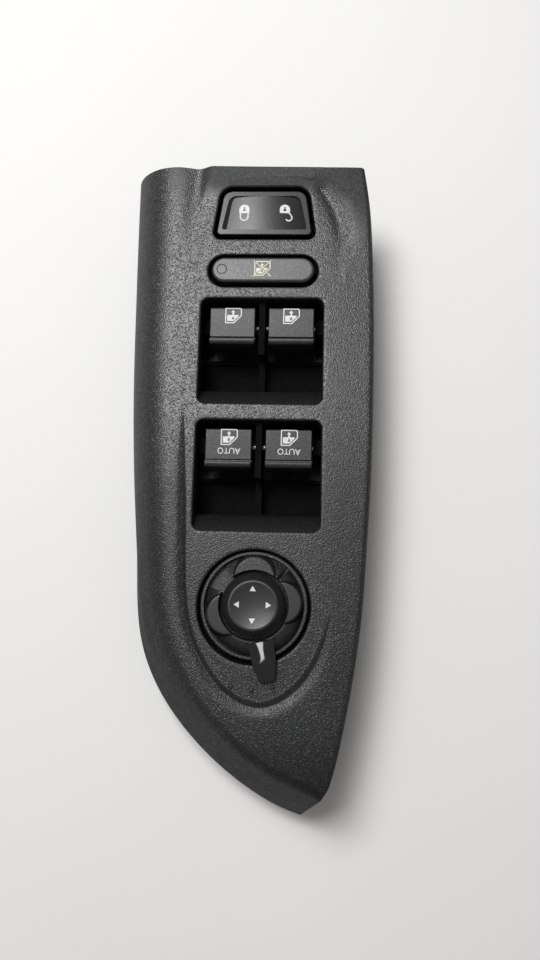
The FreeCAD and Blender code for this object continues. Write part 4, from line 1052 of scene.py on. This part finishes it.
# Lock-out button: a long push button of finely grained plastic that shuts off the rear keys, with a
# smoked lens for its lamp let into the left end.
button_plastic = moulded(
    "lockout_fine_plastic", (0.014, 0.0142, 0.0145), 0.37, 0.00042, 0.00004, 1.4, level=0.7)
dress(["lockout_button"], button_plastic)
lens_plastic = moulded("smoked_lens", (0.012, 0.012, 0.0125), 0.38, 0.0006, 0.00001, 0.3, level=0.62)
dress(["indicator_lens"], lens_plastic)

# Lock rocker: one cap in polished black plastic, dished between its two ends, with a flat rim round
# it. It rocks about the middle, to lock on one side and to unlock on the other.
gloss_black = moulded(
    "rocker_gloss_black", (0.008, 0.0082, 0.0092), 0.27, 0.0016, 0.000006, 0.2, level=0.38)
dress(["lock_rocker"], gloss_black)

# Mirror selector: a fixed grained cup, a turning ring with two thumb petals and a pointer, and a
# knob with a dished face that tips on a gimbal.
cup_plastic = moulded(
    "selector_cup_plastic", (0.009, 0.0092, 0.0096), 0.4, 0.00045, 0.00008, 1.8)
dress(["mirror_base"], cup_plastic)
ring_plastic = moulded("selector_ring_plastic", (0.010, 0.0102, 0.011), 0.33, 0.0005, 0.000012, 0.6)
dress(["selector_ring"], ring_plastic)
knob_plastic = moulded(
    "knob_satin_black", (0.010, 0.0102, 0.011), 0.36, 0.0004, 0.00001, 0.6, level=0.48)
dress(["mirror_knob"], knob_plastic)
acetal = moulded("acetal_white", (0.5, 0.5, 0.48), 0.4, 0.001, 0.00002, 0.2, level=0.4)
dress(["gimbal_ring", "knob_tilt_plate"], acetal)
dress(["gimbal_side_pins", "gimbal_end_pins"], screw_steel)

# The pointer is a gloss black cap over the ring's lever. Each row has the radius from the selector's
# axis, the half width, the half width of the crest, the underside and the top.
POINTER = [
    (12.95, 6.4, 1.5, -3.6, 0.95), (13.4, 5.7, 1.3, -3.6, 1.15), (14.2, 5.1, 1.1, -3.6, 1.42),
    (15.2, 4.8, 0.9, -3.6, 1.74), (16.2, 4.65, 0.7, -3.5, 2.06), (17.2, 4.55, 0.6, -3.2, 2.37),
    (18.2, 4.55, 0.5, -2.9, 2.65), (19.2, 4.6, 0.5, -1.0, 2.87), (20.2, 4.6, 0.5, 0.4, 3.02),
    (21.2, 4.5, 0.5, 0.42, 3.08), (22.4, 4.3, 0.5, 0.42, 3.08), (23.6, 4.0, 0.5, 0.42, 3.02),
    (24.8, 3.65, 0.5, 0.42, 2.96), (26.0, 3.35, 0.5, 0.44, 2.86), (27.0, 3.1, 0.5, 0.46, 2.7),
    (27.55, 2.8, 0.5, 0.6, 2.45), (27.8, 2.2, 0.5, 0.9, 2.1),
]
POINTER_HEADING = math.radians(-90 + 12.7)
POINTER_SIDES = 28
SELECTOR_Y = -73.2
TOP_BULGE, UNDER_BULGE = 2.8, 5.0
verts, rings = [], []
c, s = math.cos(POINTER_HEADING), math.sin(POINTER_HEADING)
for radius, wide, crest, low, high in POINTER:
    middle = max(low + 0.35, high - 2.0)
    round_share = ease(18.6, 21.4, radius)
    ring = []
    for k in range(POINTER_SIDES):
        angle = 2 * math.pi * k / POINTER_SIDES
        across, up = math.cos(angle), math.sin(angle)
        power = 2 / (TOP_BULGE if up > 0 else UNDER_BULGE)
        u = math.copysign(abs(across) ** power, across)
        v = math.copysign(abs(up) ** power, up)
        fall = max(0.0, abs(u) * wide - crest) / (wide - crest)
        top = round_share * v + (1.0 - round_share) * (1.0 - fall ** 1.5)
        z = middle + (top * (high - middle) if up >= 0 else v * (middle - low))
        ring.append(len(verts))
        verts.append((radius * c + u * wide * s, SELECTOR_Y + radius * s - u * wide * c, z))
    rings.append(ring)
faces = [tuple(rings[0]), tuple(rings[-1])[::-1]]
for near, far in zip(rings, rings[1:]):
    faces += band(far, near)
pointer_gloss = moulded(
    "pointer_gloss_black", (0.006, 0.006, 0.007), 0.12, 0.002, 0.000002, 0.1, level=0.4)
pointer = mesh_piece("selector_pointer", verts, faces, pointer_gloss)
facing_out(pointer.data)
smooth = pointer.modifiers.new("smooth", "SUBSURF")
smooth.levels = smooth.render_levels = 2
finish_mesh(pointer, 80.0)
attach(pointer, "selector")

# Printed symbols: white legends on the keys, the rocker, the button and the knob, each a thin layer
# of paint that lies on its cap and moves with it.
print_white = moulded("legend_white", (0.62, 0.63, 0.635), 0.5, 0.0004, 0.000005, 0.15)
print_cream = moulded("legend_cream", (0.62, 0.62, 0.50), 0.5, 0.0004, 0.000005, 0.15)
PRINT_LIFT = 0.00005
PRINT_THICKNESS = 0.00006


def divided(points, closed=True, step=0.35):
    """The same line with its long runs divided, so that it can follow a curved cap."""
    line = [np.array(p, float) for p in points]
    ends = line[1:] + line[:1] if closed else line[1:]
    made = []
    for start, end in zip(line, ends):
        runs = max(1, math.ceil(np.hypot(*(end - start)) / step))
        made += [start + (end - start) * k / runs for k in range(runs)]
    return made if closed else made + [line[-1]]


def filled(*loops):
    """Triangles between closed loops, where an inner loop is a hole."""
    loops = [np.array(divided(loop)) for loop in loops]
    low, high = loops[0].min(0), loops[0].max(0)
    columns, rows = np.arange(low[0], high[0], 0.4), np.arange(low[1], high[1], 0.4)
    grid = np.array([(x, y) for x in columns for y in rows])
    for loop in loops:
        gap, _ = nearest(loop, grid)
        grid = grid[gap > 0.15]
    made, triangles, _, middles = triangulated(loops, grid)
    keep = np.zeros(len(triangles), bool)
    for loop in loops:
        keep ^= inside(loop, middles)
    return [tuple(p) for p in made], [tuple(t) for t, wanted in zip(triangles, keep) if wanted]


def stroke(points, width, closed=False):
    """Band of even width along a line, with square ends."""
    line = np.array(divided(points, closed))
    after = np.roll(line, -1, axis=0) - line
    before = line - np.roll(line, 1, axis=0)
    if not closed:
        after[-1], before[0] = before[-1], after[0]
    after /= np.hypot(*after.T)[:, None]
    before /= np.hypot(*before.T)[:, None]
    way = after + before
    way /= np.hypot(*way.T)[:, None]
    reach = width / 2 / np.maximum(0.35, (way * after).sum(1))
    side = np.stack([-way[:, 1], way[:, 0]], 1) * reach[:, None]
    count = len(line)
    verts = [tuple(p) for p in line + side] + [tuple(p) for p in line - side]
    runs = count if closed else count - 1
    faces = [(k, k + count, (k + 1) % count + count, (k + 1) % count) for k in range(runs)]
    return verts, faces


def bow(x, y, radius, start, end, tall=1.0, count=16):
    """Points along an arc between two angles in degrees."""
    angles = np.radians(np.linspace(start, end, count))
    return [(x + radius * math.cos(a), y + radius * tall * math.sin(a)) for a in angles]


def lay(name, shapes, node_name, body, corner, material, turn=0.0, scale=1.0):
    """Prints flat shapes, given in millimetres, on top of a CAD node from a corner point on."""
    skin = top_tree(nodes[node_name].data)
    verts, faces = [], []
    c, s = math.cos(math.radians(turn)), math.sin(math.radians(turn))
    for shape_verts, shape_faces in shapes:
        base = len(verts)
        for x, y in shape_verts:
            over = place(corner[0] + scale * (c * x - s * y), corner[1] + scale * (s * x + c * y), 20.0)
            verts.append(skin.ray_cast(over, DOWN)[0] - PRINT_LIFT * DOWN)
        for face in shape_faces:
            a, b, d = (verts[base + i] for i in face[:3])
            up = (b - a).cross(d - a).z > 0
            faces.append(tuple(base + i for i in (face if up else face[::-1])))
    piece = new_object(name, verts, faces, material)
    paint = piece.modifiers.new("paint", "SOLIDIFY")
    paint.thickness = PRINT_THICKNESS
    paint.offset = -1.0
    finish_mesh(piece)
    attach(piece, body)


window_sign = [
    stroke([(0.0, 0.0), (0.0, 6.5), (6.3, 6.5), (6.8, 6.0), (6.8, 3.2), (3.6, 0.0)], 0.46, True),
    filled([(0.65, 0.8), (0.65, 3.5), (2.9, 3.5), (2.9, 4.7), (2.3, 4.7), (3.25, 5.8), (4.2, 4.7),
            (3.6, 4.7), (3.6, 3.5), (5.7, 3.5), (5.6, 2.9), (3.5, 0.8)],
           [(3.0, 2.9), (3.5, 2.9), (3.5, 2.1), (4.0, 2.1), (3.25, 1.3), (2.5, 2.1), (3.0, 2.1)]),
]
LETTERS = [
    [stroke([(0.0, 0.0), (1.0, 2.3), (2.0, 0.0)], 0.34), stroke([(0.45, 0.8), (1.55, 0.8)], 0.3)],
    [stroke([(2.5, 2.3), (2.5, 0.7), (2.9, 0.15), (3.45, 0.02), (4.0, 0.15), (4.4, 0.7), (4.4, 2.3)],
            0.34)],
    [stroke([(4.8, 2.1), (6.7, 2.1)], 0.34), stroke([(5.75, 2.1), (5.75, -0.1)], 0.34)],
    [stroke(bow(8.2, 1.12, 1.05, 0, 337, 1.1, 16), 0.34, True)],
]
auto_word = [shape for letter in LETTERS for shape in letter]
KEY_SIGNS = (("key_rear_right", -14.35, 36.4), ("key_rear_left", 8.55, 36.3),
             ("key_front_right", -14.35, -12.6), ("key_front_left", 8.75, -12.6))
for label, x, y in KEY_SIGNS:
    lay(label + "_sign", window_sign, label, label, (x, y), print_white, scale=0.9)
    if "front" in label:
        corner = (x + 7.3, y - 1.4)
        lay(label + "_word", auto_word, label, label, corner, print_white, turn=180.0, scale=0.92)

shackle = [(-1.55, 3.6), (-1.55, 1.9)] + bow(0.0, 1.85, 1.55, 180, 360, 1.0, 14) + [(1.55, 3.6)]
lock_body = [(-2.05, 3.4), (2.05, 3.4)] + bow(0.0, 5.0, 2.05, 0, 180, 1.0, 18)
keyhole = [(-0.22, 6.1), (0.22, 6.1), (0.22, 5.1)]
keyhole += bow(0.0, 4.75, 0.55, 50, -230, 1.0, 14) + [(-0.22, 5.1)]
closed_lock = [filled(lock_body, keyhole), stroke(shackle, 0.5)]
hook = [(1.3, 3.7), (2.3, 2.9), (2.85, 1.9), (2.75, 0.9), (2.1, 0.25), (1.15, 0.2), (0.45, 0.8)]
open_lock = [filled(lock_body, keyhole), stroke(hook, 0.5)]
lay("rocker_closed_sign", closed_lock, "lock_rocker", "lock_rocker", (-8.15, 78.2), print_white)
lay("rocker_open_sign", open_lock, "lock_rocker", "lock_rocker", (8.1, 78.2), print_white)
cross = [stroke([(-0.7, -0.5), (7.4, 7.1)], 0.34), stroke([(-0.5, 7.1), (7.3, -0.5)], 0.34)]
lay("lockout_sign", window_sign + cross, "lockout_button", "lockout_button", (-3.2, 54.7), print_cream,
    scale=0.88)
arrow = filled([(-1.15, 0.0), (1.15, 0.0), (0.0, 1.9)])
ARROW_REACH = 4.9
ARROW_WAYS = (("up", 0, 1, 0), ("left", -1, 0, 90), ("down", 0, -1, 180), ("right", 1, 0, 270))
for label, i, j, turn in ARROW_WAYS:
    corner = (i * ARROW_REACH - 0.2, j * ARROW_REACH - 73.0)
    lay("knob_arrow_" + label, [arrow], "mirror_knob", "knob", corner, print_white, turn=turn)
